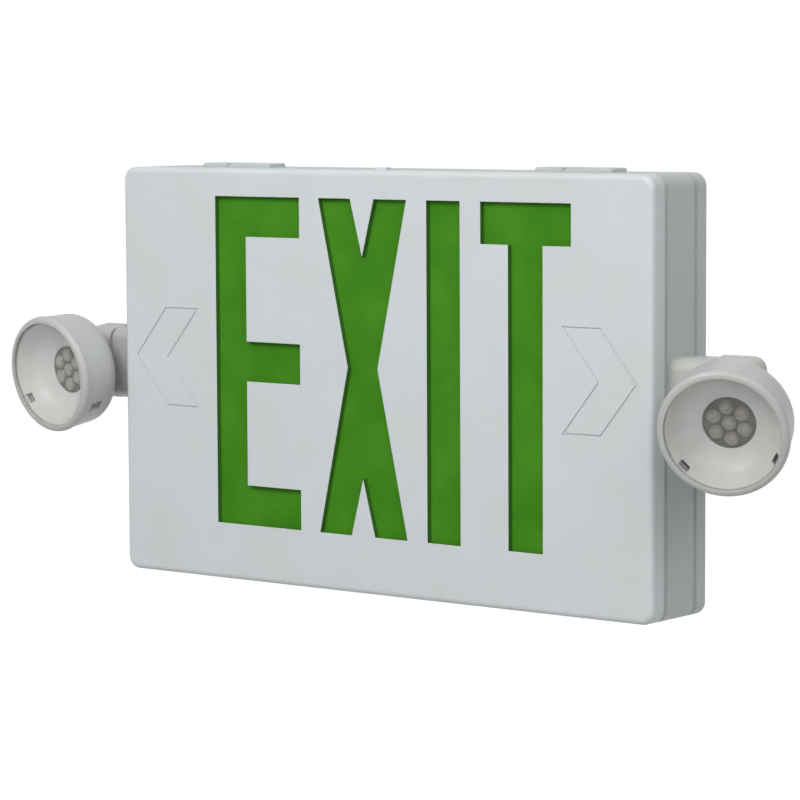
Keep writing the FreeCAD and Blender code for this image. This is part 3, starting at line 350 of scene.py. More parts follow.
@dataclass(frozen=True)
class Moulding(Finish):
    """Injection-moulded plastic: faint cloudy mottling, a fine spark grain and painted shade
    along its parting seams.
    """

    roughness: float = 0.42
    roughness_spread: float = 0.10
    gloss: float = 0.45
    mottle: float = 0.05
    pale_lift: float = 0.4
    freckle_shade: float = 0.6
    freckle_share: float = 0.35
    cool: float = 0.015
    cool_blue: float = 0.5
    grain: float = 0.012
    edge: float = 0.35
    # Seam positions in depth, and the band of painted shade drawn along each seam.
    seams: tuple[float, ...] = ()
    seam_reach: float = 2.6
    seam_shade: float = 0.30
    seam_evenness: float = 0.75
    clouds: Layer = Layer(26.0, 3.0, 0.55, (0.3, 0.7))
    freckles: Layer = Layer(160.0, 3.0, 0.6, (0.25, 0.75))
    spark: Layer = Layer(2600.0, 2.0, 0.6)

    def with_painted_shade(self, graph: Graph, tone: Colour) -> Colour:
        """Return the tone with any painted shade of this moulding; a plain one has none."""
        return tone

    def paint(self, graph: Graph) -> bpy.types.NodeSocket:
        """Mottle the plastic, paint shade along its seams and grain its skin.

        Args:
            graph: The graph that takes the nodes.

        Returns:
            The shader.
        """
        clouds, freckles = graph.noise(self.clouds), graph.noise(self.freckles)
        red, green, blue = self.tone(1.0 + self.mottle * self.pale_lift)
        pale = (red - self.cool, green, blue + self.cool * self.cool_blue)
        tone = graph.blend(self.tone(1.0 - self.mottle), pale, clouds)
        tone = tone.mixed(self.tone(1.0 - self.mottle * self.freckle_shade),
                          freckles * self.freckle_share)
        # Painted shade: the base colour darkens in a band along each parting seam, standing in
        # for the shadow in the seam's groove.
        for level in self.seams:
            off = (graph.place().along(INWARD) - level * MM).size()
            near = 1 - off.rise(0.0, self.seam_reach * MM)
            seam_shadow_breakup = self.seam_evenness + freckles * (1.0 - self.seam_evenness)
            tone = tone.mixed(self.tone(1.0 - self.seam_shade), near * seam_shadow_breakup)
        return graph.surface(
            Base_Color=self.with_painted_shade(graph, tone), Specular_IOR_Level=self.gloss,
            Roughness=self.roughness + (freckles - 0.5) * self.roughness_spread,
            Normal=graph.relief(graph.noise(self.spark), self.grain, self.edge))


@dataclass(frozen=True)
class StencilFace(Moulding):
    """Face moulding whose cut legend walls are painted dark green: painted shade tinted by
    painted green light reflected from the panel.
    """

    wall_shade_green: Rgb = (0.045, 0.150, 0.020)
    legend_reach: float = 102.5
    legend_top: float = 88.0
    crossbar_base: float = 50.0
    crossbar_extra: float = 7.5
    fade: float = 1.0
    wall_turn: tuple[float, float] = (0.3, 0.6)

    def below(self, measure: Value, limit: float) -> Value:
        """Return 1 where the measure is less than the limit in millimetres."""
        return 1 - measure.rise(limit * MM, (limit + self.fade) * MM)

    def with_painted_shade(self, graph: Graph, tone: Colour) -> Colour:
        """Paint the walls of the legend's openings dark green, as painted shade with painted
        reflected green.

        Args:
            graph: The graph that takes the nodes.
            tone: The moulding's colour.

        Returns:
            The colour with painted green shade on the walls; the face and the scored arrows
            keep theirs.
        """
        normal = Place(graph, graph.node("ShaderNodeNewGeometry").outputs["Normal"])
        wall = 1 - normal.along(INWARD).size().rise(*self.wall_turn)
        point = graph.place()
        level = point.along(UP)
        crossbar = 1 - self.below(level, self.crossbar_base)
        across = point.along(RIGHT).size() - crossbar * (self.crossbar_extra * MM)
        inside = self.below(across, self.legend_reach)
        high = self.below(level.size(), self.legend_top)
        # Painted shade and painted reflected green on the opening walls, which are white
        # plastic.
        return tone.mixed(self.wall_shade_green, wall * inside * high)


@dataclass(frozen=True)
class LegendPanel(Finish):
    """Translucent green acrylic: a soft uneven tint with a satin surface."""

    roughness: float = 0.62
    roughness_spread: float = 0.10
    gloss: float = 0.03
    deep: Rgb = (0.78, 0.86, 0.72)
    bright: Rgb = (1.12, 1.05, 1.05)
    fleck_shade: float = 0.9
    fleck_share: float = 0.25
    fleck_step: tuple[float, float] = (0.45, 0.7)
    grain: float = 0.008
    clouds: Layer = Layer(48.0, 3.0, 0.5, (0.25, 0.75))
    flecks: Layer = Layer(520.0, 2.0, 0.6)

    def paint(self, graph: Graph) -> bpy.types.NodeSocket:
        """Cloud the tint and fleck the surface.

        Args:
            graph: The graph that takes the nodes.

        Returns:
            The shader.
        """
        fleck = graph.noise(self.flecks)
        tone = graph.blend(self.tinted(self.deep), self.tinted(self.bright),
                           graph.noise(self.clouds))
        tone = tone.mixed(self.tone(self.fleck_shade),
                          fleck.rise(*self.fleck_step) * self.fleck_share)
        return graph.surface(Base_Color=tone, Specular_IOR_Level=self.gloss,
                             Roughness=self.roughness + fleck * self.roughness_spread,
                             Normal=graph.relief(fleck, self.grain))


@dataclass(frozen=True)
class SatinBowl(Finish):
    """Satin reflector: bright, with faint turning lines about the lamp's axis."""

    centre: Rgb = (0.0, 0.0, 0.0)
    axis: Rgb = (0.0, -1.0, 0.0)
    roughness: float = 0.34
    roughness_spread: float = 0.12
    shade: float = 0.93
    rings_per_metre: float = 900.0
    ring_wander: float = 0.6
    ring_depth: float = 0.010
    wander: Layer = Layer(240.0)
    clouds: Layer = Layer(110.0, 3.0, 0.6, (0.3, 0.7))

    def paint(self, graph: Graph) -> bpy.types.NodeSocket:
        """Cloud the bowl and turn fine rings about its axis.

        Args:
            graph: The graph that takes the nodes.

        Returns:
            The shader.
        """
        ahead = (graph.place() - Vector(self.centre)).along(Vector(self.axis))
        turns = ahead * self.rings_per_metre + graph.noise(self.wander) * self.ring_wander
        rings = turns.fraction().rise(0.0, 1.0)
        cloud = graph.noise(self.clouds)
        return graph.surface(Base_Color=graph.blend(self.tone(self.shade), self.base, cloud),
                             Roughness=self.roughness + cloud * self.roughness_spread,
                             Normal=graph.relief(rings, self.ring_depth))


@dataclass(frozen=True)
class ClearLens(Finish):
    """Clear moulded lens that shows as gloss at its edges, with a slight haze."""

    roughness: float = 0.09
    roughness_spread: float = 0.06
    index: float = 1.49
    turn: float = 0.5
    haze: float = 0.03
    rim_cover: float = 0.7
    streak_cover: float = 0.03
    swell_depth: float = 0.004
    streaks: Layer = Layer(60.0, 3.0, 0.6, (0.35, 0.75))
    swells: Layer = Layer(90.0, 1.0)

    def paint(self, graph: Graph) -> bpy.types.NodeSocket:
        """Let the lens show through, apart from its rim, haze and streaks.

        Args:
            graph: The graph that takes the nodes.

        Returns:
            The shader.
        """
        facing = graph.facing(self.turn)
        streak = graph.noise(self.streaks)
        cover = (facing * facing * facing * self.rim_cover + self.haze
                 + streak * self.streak_cover)
        return graph.surface(Base_Color=self.base, Alpha=cover.at_most(1.0), IOR=self.index,
                             Roughness=self.roughness + streak * self.roughness_spread,
                             Normal=graph.relief(graph.noise(self.swells), self.swell_depth))


@dataclass(frozen=True)
class CastDome(Finish):
    """Clear cast dome over a diode: mostly see-through, glossy at the rim."""

    roughness: float = 0.12
    roughness_spread: float = 0.1
    coat: float = 0.5
    coat_spread: float = 0.3
    turn: float = 0.45
    haze: float = 0.36
    rim_cover: float = 0.55
    smoke_cover: float = 0.14
    pale: float = 1.5
    smoke_depth: float = 0.010
    smoke: Layer = Layer(900.0, 2.0, 0.6)

    def paint(self, graph: Graph) -> bpy.types.NodeSocket:
        """Smoke the dome and cover its rim.

        Args:
            graph: The graph that takes the nodes.

        Returns:
            The shader.
        """
        smoke = graph.noise(self.smoke)
        cover = (graph.facing(self.turn) * self.rim_cover + self.haze
                 + smoke * self.smoke_cover)
        return graph.surface(Base_Color=graph.blend(self.base, self.tone(self.pale), smoke),
                             Roughness=self.roughness + smoke * self.roughness_spread,
                             Coat_Weight=self.coat + smoke * self.coat_spread,
                             Alpha=cover.at_most(1.0),
                             Normal=graph.relief(smoke, self.smoke_depth))


@dataclass(frozen=True)
class Phosphor(Finish):
    """Diode face: a warm dried gel, lighter in the middle of each grain."""

    roughness: float = 0.55
    roughness_spread: float = 0.2
    pale: float = 1.15
    dark: float = 0.8
    grain_depth: float = 0.02
    grains_per_metre: float = 2400.0
    grain_step: tuple[float, float] = (0.0, 0.6)

    def paint(self, graph: Graph) -> bpy.types.NodeSocket:
        """Grain the gel.

        Args:
            graph: The graph that takes the nodes.

        Returns:
            The shader.
        """
        grain = graph.cells(self.grains_per_metre, self.grain_step)
        tone = graph.blend(self.tone(self.pale), self.tone(self.dark), grain)
        return graph.surface(Base_Color=tone,
                             Roughness=self.roughness + grain * self.roughness_spread,
                             Normal=graph.relief(grain, self.grain_depth))


@dataclass(frozen=True)
class Metal(Finish):
    """Plated or drawn metal with fine lines and a few dull patches."""

    roughness: float = 0.34
    patch_dulling: float = 0.16
    line_dulling: float = 0.14
    lines: Rgb = (1.0, 1.0, 0.08)
    patina: float = 0.25
    line_depth: float = 0.006
    edge: float = 0.15
    drawn: Layer = Layer(2200.0, 3.0, 0.6)
    patches: Layer = Layer(210.0, 4.0, 0.6, (0.4, 0.75))

    def paint(self, graph: Graph) -> bpy.types.NodeSocket:
        """Draw the lines and dull the patches.

        Args:
            graph: The graph that takes the nodes.

        Returns:
            The shader.
        """
        drawn = graph.noise(self.drawn, Vector(self.lines))
        patch = graph.noise(self.patches)
        dulled = self.roughness + patch * self.patch_dulling
        return graph.surface(
            Base_Color=graph.blend(self.base, self.tone(1.0 - self.patina), patch),
            Metallic=1.0, Roughness=dulled + (drawn - 0.5) * self.line_dulling,
            Normal=graph.relief(drawn, self.line_depth, self.edge))


@dataclass(frozen=True)
class BoardMask(Finish):
    """Solder mask over copper: tracks show as lighter lines, with tinned vias."""

    track: Rgb = (0.10, 0.36, 0.16)
    tin: Rgb = (0.62, 0.61, 0.58)
    roughness: float = 0.34
    via_dulling: float = 0.1
    track_gloss: float = 0.06
    via_metal: float = 0.8
    track_share: float = 0.8
    pitch: float = 3.4
    track_step: tuple[float, float] = (0.07, 0.13)
    track_wander: float = 2.4
    upward_wander: float = 0.7
    vias_per_metre: float = 430.0
    via_step: tuple[float, float] = (0.10, 0.16)
    copper_depth: float = 0.03
    wander: Layer = Layer(90.0, 1.0)

    def paint(self, graph: Graph) -> bpy.types.NodeSocket:
        """Lay wandering tracks in two directions and spot them with vias.

        Args:
            graph: The graph that takes the nodes.

        Returns:
            The shader.
        """
        point = graph.place()
        wander = graph.noise(self.wander) * self.track_wander
        across = point.along(RIGHT) / (self.pitch * MM) + wander
        upward = point.along(UP) / (self.pitch * MM) + wander * self.upward_wander
        line, other = ((way.fraction() - 0.5).size() for way in (across, upward))
        tracks = 1 - line.at_most(other).rise(*self.track_step)
        vias = 1 - graph.cells(self.vias_per_metre, self.via_step)
        tone = graph.blend(self.base, self.track, tracks * self.track_share)
        dulled = self.roughness + vias * self.via_dulling
        return graph.surface(Base_Color=tone.mixed(self.tin, vias),
                             Roughness=dulled - tracks * self.track_gloss,
                             Metallic=vias * self.via_metal,
                             Normal=graph.relief(tracks + vias, self.copper_depth))


@dataclass(frozen=True)
class WoundFilm(Finish):
    """Bands of tape or shrink film drawn round a core."""

    band: float = 3.0
    axis: Rgb = (0.0, 0.0, 1.0)
    roughness: float = 0.3
    roughness_spread: float = 0.15
    coat: float = 0.2
    coat_spread: float = 0.2
    crinkle: float = 0.05
    lap_step: tuple[float, float] = (0.0, 0.12)
    lap_shade: float = 0.72
    fold_pale: float = 1.2
    fold_share: float = 0.4
    fold_step: tuple[float, float] = (0.5, 0.8)
    fold_stretch: Rgb = (0.25, 1.0, 1.0)
    folds: Layer = Layer(420.0, 3.0, 0.6)

    def paint(self, graph: Graph) -> bpy.types.NodeSocket:
        """Lap the bands and crinkle them.

        Args:
            graph: The graph that takes the nodes.

        Returns:
            The shader.
        """
        turn = (graph.place().along(Vector(self.axis)) / (self.band * MM)).fraction()
        lap = 1 - turn.rise(*self.lap_step)
        fold = graph.noise(self.folds, Vector(self.fold_stretch))
        tone = graph.blend(self.base, self.tone(self.lap_shade), lap)
        tone = tone.mixed(self.tone(self.fold_pale),
                          fold.rise(*self.fold_step) * self.fold_share)
        return graph.surface(Base_Color=tone,
                             Roughness=self.roughness + fold * self.roughness_spread,
                             Coat_Weight=self.coat + fold * self.coat_spread,
                             Normal=graph.relief(fold + lap, self.crinkle))


@dataclass(frozen=True)
class Compound(Finish):
    """Dark filled resin, ferrite or rubber: matt, with a pitted skin."""

    roughness: float = 0.62
    roughness_spread: float = 0.2
    gloss: float = 0.35
    dark: float = 0.8
    pale: float = 1.35
    pits: float = 0.03
    pits_per_metre: float = 1500.0
    pit_step: tuple[float, float] = (0.05, 0.45)
    clouds: Layer = Layer(260.0, 3.0, 0.6)

    def paint(self, graph: Graph) -> bpy.types.NodeSocket:
        """Cloud the compound and pit its skin.

        Args:
            graph: The graph that takes the nodes.

        Returns:
            The shader.
        """
        cloud = graph.noise(self.clouds)
        tone = graph.blend(self.tone(self.dark), self.tone(self.pale), cloud)
        pit = graph.cells(self.pits_per_metre, self.pit_step)
        return graph.surface(
            Base_Color=tone, Specular_IOR_Level=self.gloss,
            Roughness=self.roughness + (cloud - 0.5) * self.roughness_spread,
            Normal=graph.relief(pit, self.pits))


@dataclass(frozen=True)
class LightPipe(Finish):
    """Tinted clear rod that carries a pilot light."""

    roughness: float = 0.14
    roughness_spread: float = 0.12
    coat: float = 0.4
    coat_spread: float = 0.2
    clearness: float = 0.25
    dark: float = 0.75
    pale: float = 1.4
    swirl_depth: float = 0.01
    swirl_stretch: Rgb = (1.0, 1.0, 0.2)
    swirls: Layer = Layer(500.0, 3.0, 0.6)

    def paint(self, graph: Graph) -> bpy.types.NodeSocket:
        """Swirl the tint along the rod.

        Args:
            graph: The graph that takes the nodes.

        Returns:
            The shader.
        """
        swirl = graph.noise(self.swirls, Vector(self.swirl_stretch))
        tone = graph.blend(self.tone(self.dark), self.tone(self.pale), swirl)
        return graph.surface(Base_Color=tone, Transmission_Weight=self.clearness,
                             Roughness=self.roughness + swirl * self.roughness_spread,
                             Coat_Weight=self.coat + swirl * self.coat_spread,
                             Normal=graph.relief(swirl, self.swirl_depth))


@dataclass(frozen=True)
class StudioFloor(Finish):
    """Pale floor that shows white to the camera and keeps the object's shadow."""

    roughness: float = 0.9
    gloss: float = 0.1
    lift: float = 0.85
    shade: float = 0.985
    mottling: Layer = Layer(3.0)

    def paint(self, graph: Graph) -> bpy.types.NodeSocket:
        """Mottle the floor, and lift it where the camera sees it.

        Args:
            graph: The graph that takes the nodes.

        Returns:
            The shader.
        """
        tone = graph.blend(self.tone(self.shade), self.base, graph.noise(self.mottling))
        matt = graph.surface(Base_Color=tone, Roughness=self.roughness,
                             Specular_IOR_Level=self.gloss)
        glow = graph.node("ShaderNodeEmission", values={"Color": WHITE,
                                                        "Strength": self.lift}).outputs[0]
        lit = graph.node("ShaderNodeAddShader", values={0: matt, 1: glow}).outputs[0]
        return graph.node("ShaderNodeMixShader", values={
            0: seen_directly(graph), 1: matt, 2: lit}).outputs[0]


def seen_directly(graph: Graph) -> Value:
    """Tell the rays that carry the background to the camera from the rest.

    Args:
        graph: The graph that takes the nodes.

    Returns:
        1 for such rays, and 0 for the others.
    """
    path = graph.node("ShaderNodeLightPath").outputs
    camera, glossy, clear = (Value(graph, path[name]) for name in (
        "Is Camera Ray", "Is Glossy Ray", "Is Transmission Ray"))
    return camera.at_least(glossy).at_least(clear)


class Finishes(Enum):
    """The object's finishes; most are named after the record's material slots."""

    # The seams listed below get a band of painted shade along each parting line.
    face_white = StencilFace("face_white", (0.650, 0.682, 0.688), mottle=0.045,
                             seams=(-31.7,))
    frame_white = Moulding("frame_white", (0.520, 0.552, 0.535), roughness=0.48,
                           seams=(-31.7, -8.9))
    lamp_white = Moulding("lamp_white", (0.510, 0.510, 0.485), roughness=0.40, gloss=0.5)
    legend_green = LegendPanel("legend_green", (0.064, 0.262, 0.0175))
    diffuser_white = Moulding("diffuser_white", (0.86, 0.86, 0.84), roughness=0.6, edge=0)
    tray_white = Moulding("tray_white", (0.84, 0.84, 0.83), roughness=0.35)
    clear_lens = ClearLens("clear_lens", (0.86, 0.87, 0.86))
    emitter_dark = Compound("emitter_dark", (0.095, 0.095, 0.082), roughness=0.5)
    emitter_dome = CastDome("emitter_dome", (0.37, 0.36, 0.325))
    phosphor = Phosphor("phosphor", (0.74, 0.46, 0.42))
    board_white = BoardMask("board_white", (0.70, 0.70, 0.67), track=(0.60, 0.60, 0.56))
    board_green = BoardMask("board_green", (0.030, 0.170, 0.065))
    heat_sink_metal = Metal("heat_sink_metal", (0.68, 0.69, 0.70), lines=(1.0, 0.1, 1.0))
    screw_steel = Metal("screw_steel", (0.56, 0.56, 0.55))
    core_steel = Compound("core_steel", (0.085, 0.085, 0.09), pits=0.05)
    coil_tape = WoundFilm("coil_tape", (0.68, 0.50, 0.09), band=6.0)
    dark_part = Compound("dark_part", (0.040, 0.040, 0.045), roughness=0.45)
    terminal_green = Moulding("terminal_green", (0.060, 0.300, 0.120), roughness=0.5)
    connector_white = Moulding("connector_white", (0.74, 0.72, 0.64), roughness=0.55)
    battery_wrap = WoundFilm("battery_wrap", (0.050, 0.150, 0.420), band=17.0,
                            axis=(1.0, 0.0, 0.0), crinkle=0.08)
    strap_steel = Metal("strap_steel", (0.60, 0.60, 0.58), roughness=0.28,
                        lines=(0.08, 1.0, 1.0))
    # The clips are real parts; their darkish grey is partly painted shade for the shadowed
    # snap windows.
    clip_shade_grey = Moulding("clip_shade_grey", (0.400, 0.405, 0.380), roughness=0.5)
    button_grey = Moulding("button_grey", (0.120, 0.126, 0.132), roughness=0.5)
    indicator_green = LightPipe("indicator_green", (0.060, 0.420, 0.120))
    lead_red = Compound("lead_red", (0.420, 0.022, 0.018), roughness=0.42, pits=0.01)
    lead_black = Compound("lead_black", (0.022, 0.022, 0.024), roughness=0.42, pits=0.01)


# ------------------------------------------------------------------ mesh helpers
class Builder:
    """Collects the faces of one piece, in the row frame."""

    turn_steps: int = 40
    floor_share: float = 0.8
    bevel_segments: int = 2
    bevel_profile: float = 0.6
    smooth_angle: float = 35.0

    def __init__(self, name: str) -> None:
        """Start an empty mesh.

        Args:
            name: The piece's name.
        """
        self.name = name
        self.mesh = bmesh.new()

    def lathe(self, profile: Sequence[tuple[float, float]],
              at: Matrix) -> list[bmesh.types.BMVert]:
        """Turn a profile of (radius, height) about the local Z axis.

        Args:
            profile: The profile's corners; a radius of 0 closes it.
            at: The placement of the local axes.

        Returns:
            The vertices of the last ring, which stays open.
        """
        steps = self.turn_steps
        rings: list[list[bmesh.types.BMVert]] = []
        for radius, height in profile:
            if radius == 0:
                rings.append([self.mesh.verts.new(at @ Vector((0, 0, height)))])
                continue
            rings.append([self.mesh.verts.new(at @ Vector((
                radius * math.cos(math.tau * i / steps),
                radius * math.sin(math.tau * i / steps), height))) for i in range(steps)])
        for low, high in zip(rings, rings[1:]):
            for i in range(steps):
                j = (i + 1) % steps
                corners = [low[i % len(low)], low[j % len(low)],
                           high[j % len(high)], high[i % len(high)]]
                self.mesh.faces.new(list(dict.fromkeys(corners)))
        return rings[-1]

    def recess(self, rim: Sequence[bmesh.types.BMVert],
               outline: Sequence[tuple[float, float]], top: float, depth: float,
               at: Matrix) -> None:
        """Fill a ring's face around a sunk outline with walls and a floor.

        Args:
            rim: The ring that bounds the face.
            outline: The outline's corners in local X and Y.
            top: The face's local height.
            depth: How deep the outline is sunk.
            at: The placement of the local axes.
        """
        mouth = [self.mesh.verts.new(at @ Vector((x, y, top))) for x, y in outline]
        floor = [self.mesh.verts.new(at @ Vector((
            x * self.floor_share, y * self.floor_share, top - depth))) for x, y in outline]
        count = len(outline)
        edges = []
        for loop in (list(rim), mouth):
            for i, vert in enumerate(loop):
                after = loop[(i + 1) % len(loop)]
                edges.append(self.mesh.edges.get((vert, after))
                             or self.mesh.edges.new((vert, after)))
        bmesh.ops.triangle_fill(self.mesh, use_beauty=True, edges=edges)
        for i in range(count):
            j = (i + 1) % count
            self.mesh.faces.new([mouth[i], mouth[j], floor[j], floor[i]])
        self.mesh.faces.new(floor)

    def block(self, at: Matrix, size: Vector, bevel: float) -> None:
        """Add a block with softened edges.

        Args:
            at: The placement of its centre.
            size: Its full sizes.
            bevel: The width of its softened edges.
        """
        made = bmesh.ops.create_cube(self.mesh, size=1.0,
                                     matrix=at @ Matrix.Diagonal((*size, 1.0)))
        edges = {edge for vert in made["verts"] for edge in vert.link_edges}
        bmesh.ops.bevel(self.mesh, geom=list(edges), offset=bevel, affect="EDGES",
                        segments=self.bevel_segments, profile=self.bevel_profile)

    def placed(self, body: str, finish: Finish) -> bpy.types.Object:
        """Close the mesh as a piece that rides on a body.

        Args:
            body: The CAD body that it rides on.
            finish: Its finish.

        Returns:
            The piece.
        """
        bmesh.ops.recalc_face_normals(self.mesh, faces=self.mesh.faces)
        data = bpy.data.meshes.new(self.name)
        self.mesh.to_mesh(data)
        self.mesh.free()
        piece = bpy.data.objects.new(self.name, data)
        bpy.context.scene.collection.objects.link(piece)
        data.materials.append(finish.material())
        data.shade_smooth()
        data.set_sharp_from_angle(angle=math.radians(self.smooth_angle))
        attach(piece, body)
        return piece


def looking_along(centre: Vector, axis: Vector) -> Matrix:
    """Return a placement at a point whose local Z follows an axis."""
    turn = axis.to_track_quat("Z", "Y").to_matrix().to_4x4()
    return Matrix.Translation(centre) @ turn


def cross_outline(arm: float, half: float) -> list[tuple[float, float]]:
    """Return the corners of a cross with the given arm length and half width."""
    return [(arm, -half), (arm, half), (half, half), (half, arm), (-half, arm), (-half, half),
            (-arm, half), (-arm, -half), (-half, -half), (-half, -arm), (half, -arm),
            (half, -half)]


# ------------------------------------------------------------------ sub-assemblies
@dataclass
class SubAssembly:
    """Some of the frame's nodes, and the small pieces that belong with them."""

    nodes: Mapping[str, bpy.types.Object]
    made: list[bpy.types.Object] = field(default_factory=list)

    def coat(self, finish: Finish, *names: str) -> None:
        """Give CAD nodes a finish.

        Args:
            finish: The finish.
            names: The nodes' names.
        """
        for name in names:
            slots = self.nodes[name].data.materials
            slots.clear()
            slots.append(finish.material())
            LOG.info("%s: %s in %s", type(self).__name__, name, finish.name)

    def parts_of(self, name: str) -> list[tuple[Vector, Vector]]:
        """Find the box of each separate solid in a node.

        Args:
            name: The node's name.

        Returns:
            The lowest and highest corner of each solid, in a fixed order.
        """
        work = bmesh.new()
        work.from_mesh(self.nodes[name].data)
        bmesh.ops.remove_doubles(work, verts=work.verts, dist=WELD)
        boxes: list[tuple[Vector, Vector]] = []
        left = set(work.verts)
        while left:
            front, group = [left.pop()], []
            while front:
                vert = front.pop()
                group.append(vert.co.copy())
                for edge in vert.link_edges:
                    other = edge.other_vert(vert)
                    if other in left:
                        left.discard(other)
                        front.append(other)
            boxes.append((Vector(map(min, *group)), Vector(map(max, *group))))
        work.free()
        return sorted(boxes, key=lambda box: tuple(
            round(measure, SORT_DECIMALS) for measure in box[0]))

    def disc_axis(self, name: str, towards: Vector) -> tuple[Vector, Vector]:
        """Return a disc's centre and its axis, on the side that is asked for.

        Args:
            name: The disc's node.
            towards: A direction that the axis leans to.

        Returns:
            The centre and the unit axis.
        """
        points = np.array([v.co for v in self.nodes[name].data.vertices], float)
        points = np.unique(points.round(POINT_DECIMALS), axis=0)
        middle = (points.max(0) + points.min(0)) / 2
        axis = Vector(np.linalg.svd(points - points.mean(0))[2][-1])
        if axis.dot(towards) < 0:
            axis.negate()
        return Vector(middle), axis.normalized()

    def build(self) -> None:
        """Make the sub-assembly's own pieces."""
        raise NotImplementedError

    def dress(self) -> None:
        """Give every node of the sub-assembly its finish."""
        raise NotImplementedError

    def report(self) -> None:
        """Log each piece that was built."""
        for piece in self.made:
            LOG.info("%s: %s, %d faces", type(self).__name__, piece.name,
                     len(piece.data.polygons))


@dataclass
class Housing(SubAssembly):
    """Face cover, frame and back plate, with the screws that hold them."""

    head_radius: float = 3.0 * MM
    head_height: float = 2.0 * MM
    shaft_radius: float = 1.5 * MM
    recess_arm: float = 1.7 * MM
    recess_half: float = 0.42 * MM
    recess_depth: float = 1.2 * MM
    tip_share: float = 0.5
    edge_level: float = 0.45
    shoulder_level: float = 0.18
    shoulder_share: float = 0.95
    crown_share: float = 0.8
    turn_across: float = 40.0
    turn_up: float = 23.0

    def build(self) -> None:
        """Replace the plain plate screws by pan heads with cross recesses."""
        screws = Builder("plate_screw_set")
        for low, high in self.parts_of("plate_screws"):
            centre = (low + high) / 2
            turn = centre.x * self.turn_across + centre.z * self.turn_up
            at = looking_along(Vector((centre.x, high.y, centre.z)), INWARD)
            at = at @ Matrix.Rotation(turn, 4, "Z")
            length = high.y - low.y
            head, shaft, under = self.head_radius, self.shaft_radius, -self.head_height
            rim = screws.lathe([
                (0, -length), (shaft * self.tip_share, -length), (shaft, -length + shaft),
                (shaft, under), (head, under), (head, under * self.edge_level),
                (head * self.shoulder_share, under * self.shoulder_level),
                (head * self.crown_share, 0)], at)
            screws.recess(rim, cross_outline(self.recess_arm, self.recess_half), 0.0,
                          self.recess_depth, at)
        piece = screws.placed("housing", Finishes.screw_steel.value)
        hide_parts("plate_screws")
        self.made.append(piece)

    def dress(self) -> None:
        """Coat the three mouldings."""
        self.coat(Finishes.face_white.value, "face_cover")
        self.coat(Finishes.frame_white.value, "housing_frame", "back_plate")


@dataclass
class LightBox(SubAssembly):
    """Legend panel, diffuser, tray and the two diode strips behind the stencil."""

    chip: float = 3.2 * MM
    chip_rise: float = 0.12 * MM
    chip_bevel: float = 0.03 * MM

    def build(self) -> None:
        """Add the yellow face of each strip diode."""
        faces = Builder("sign_diode_faces")
        low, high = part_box("sign_diodes")
        middle = (low.z + high.z) / 2
        for lower, upper in self.parts_of("sign_diodes"):
            centre = (lower + upper) / 2
            inward = -1 if centre.z > middle else 1
            edge = lower.z if inward < 0 else upper.z
            centre.z = edge + inward * self.chip_rise / 2
            faces.block(Matrix.Translation(centre),
                        Vector((self.chip, self.chip, self.chip_rise)), self.chip_bevel)
        self.made.append(faces.placed("housing", Finishes.phosphor.value))

    def dress(self) -> None:
        """Coat the light box's nodes."""
        self.coat(Finishes.legend_green.value, "legend_panel")
        self.coat(Finishes.diffuser_white.value, "diffuser_sheet")
        self.coat(Finishes.tray_white.value, "reflector_tray")
        self.coat(Finishes.board_white.value, "strip_board_top", "strip_board_bottom")
        self.coat(Finishes.emitter_dome.value, "sign_diodes")


@dataclass
class Electronics(SubAssembly):
    """Charger board, transformer, relay, battery, leads and the test controls."""

    resistor: Rgb = (0.9 * MM, 0.5 * MM, 1.8 * MM)
    resistor_count: int = 6
    resistor_bevel: float = 0.08 * MM
    resistor_level: float = 0.3

    def build(self) -> None:
        """Add the small resistors in the board's free strip."""
        low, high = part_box("circuit_board")
        relay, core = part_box("transfer_relay"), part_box("transformer_core")
        chips = Builder("board_resistors")
        level = relay[1].z + (high.z - relay[1].z) * self.resistor_level
        for i in range(self.resistor_count):
            across = relay[0].x + (core[0].x - relay[0].x) * i / self.resistor_count
            centre = Vector((across, low.y - self.resistor[1] / 2, level))
            chips.block(Matrix.Translation(centre), Vector(self.resistor),
                        self.resistor_bevel)
        self.made.append(chips.placed("housing", Finishes.dark_part.value))

    def dress(self) -> None:
        """Coat the electronics' nodes."""
        for finish, names in (
                (Finishes.board_green, ("circuit_board",)),
                (Finishes.screw_steel, ("board_screws",)),
                (Finishes.core_steel, ("transformer_core",)),
                (Finishes.coil_tape, ("transformer_coil",)),
                (Finishes.dark_part, ("capacitors", "transfer_relay", "test_switch")),
                (Finishes.terminal_green, ("terminal_block",)),
                (Finishes.connector_white, ("lead_connectors",)),
                (Finishes.battery_wrap, ("battery_pack",)),
                (Finishes.strap_steel, ("battery_strap",)),
                (Finishes.button_grey, ("test_button", "switch_plunger")),
                (Finishes.indicator_green, ("charge_indicator",)),
                (Finishes.lead_red, ("battery_lead",)),
                (Finishes.lead_black, ("left_lamp_lead", "right_lamp_lead"))):
            self.coat(finish.value, *names)


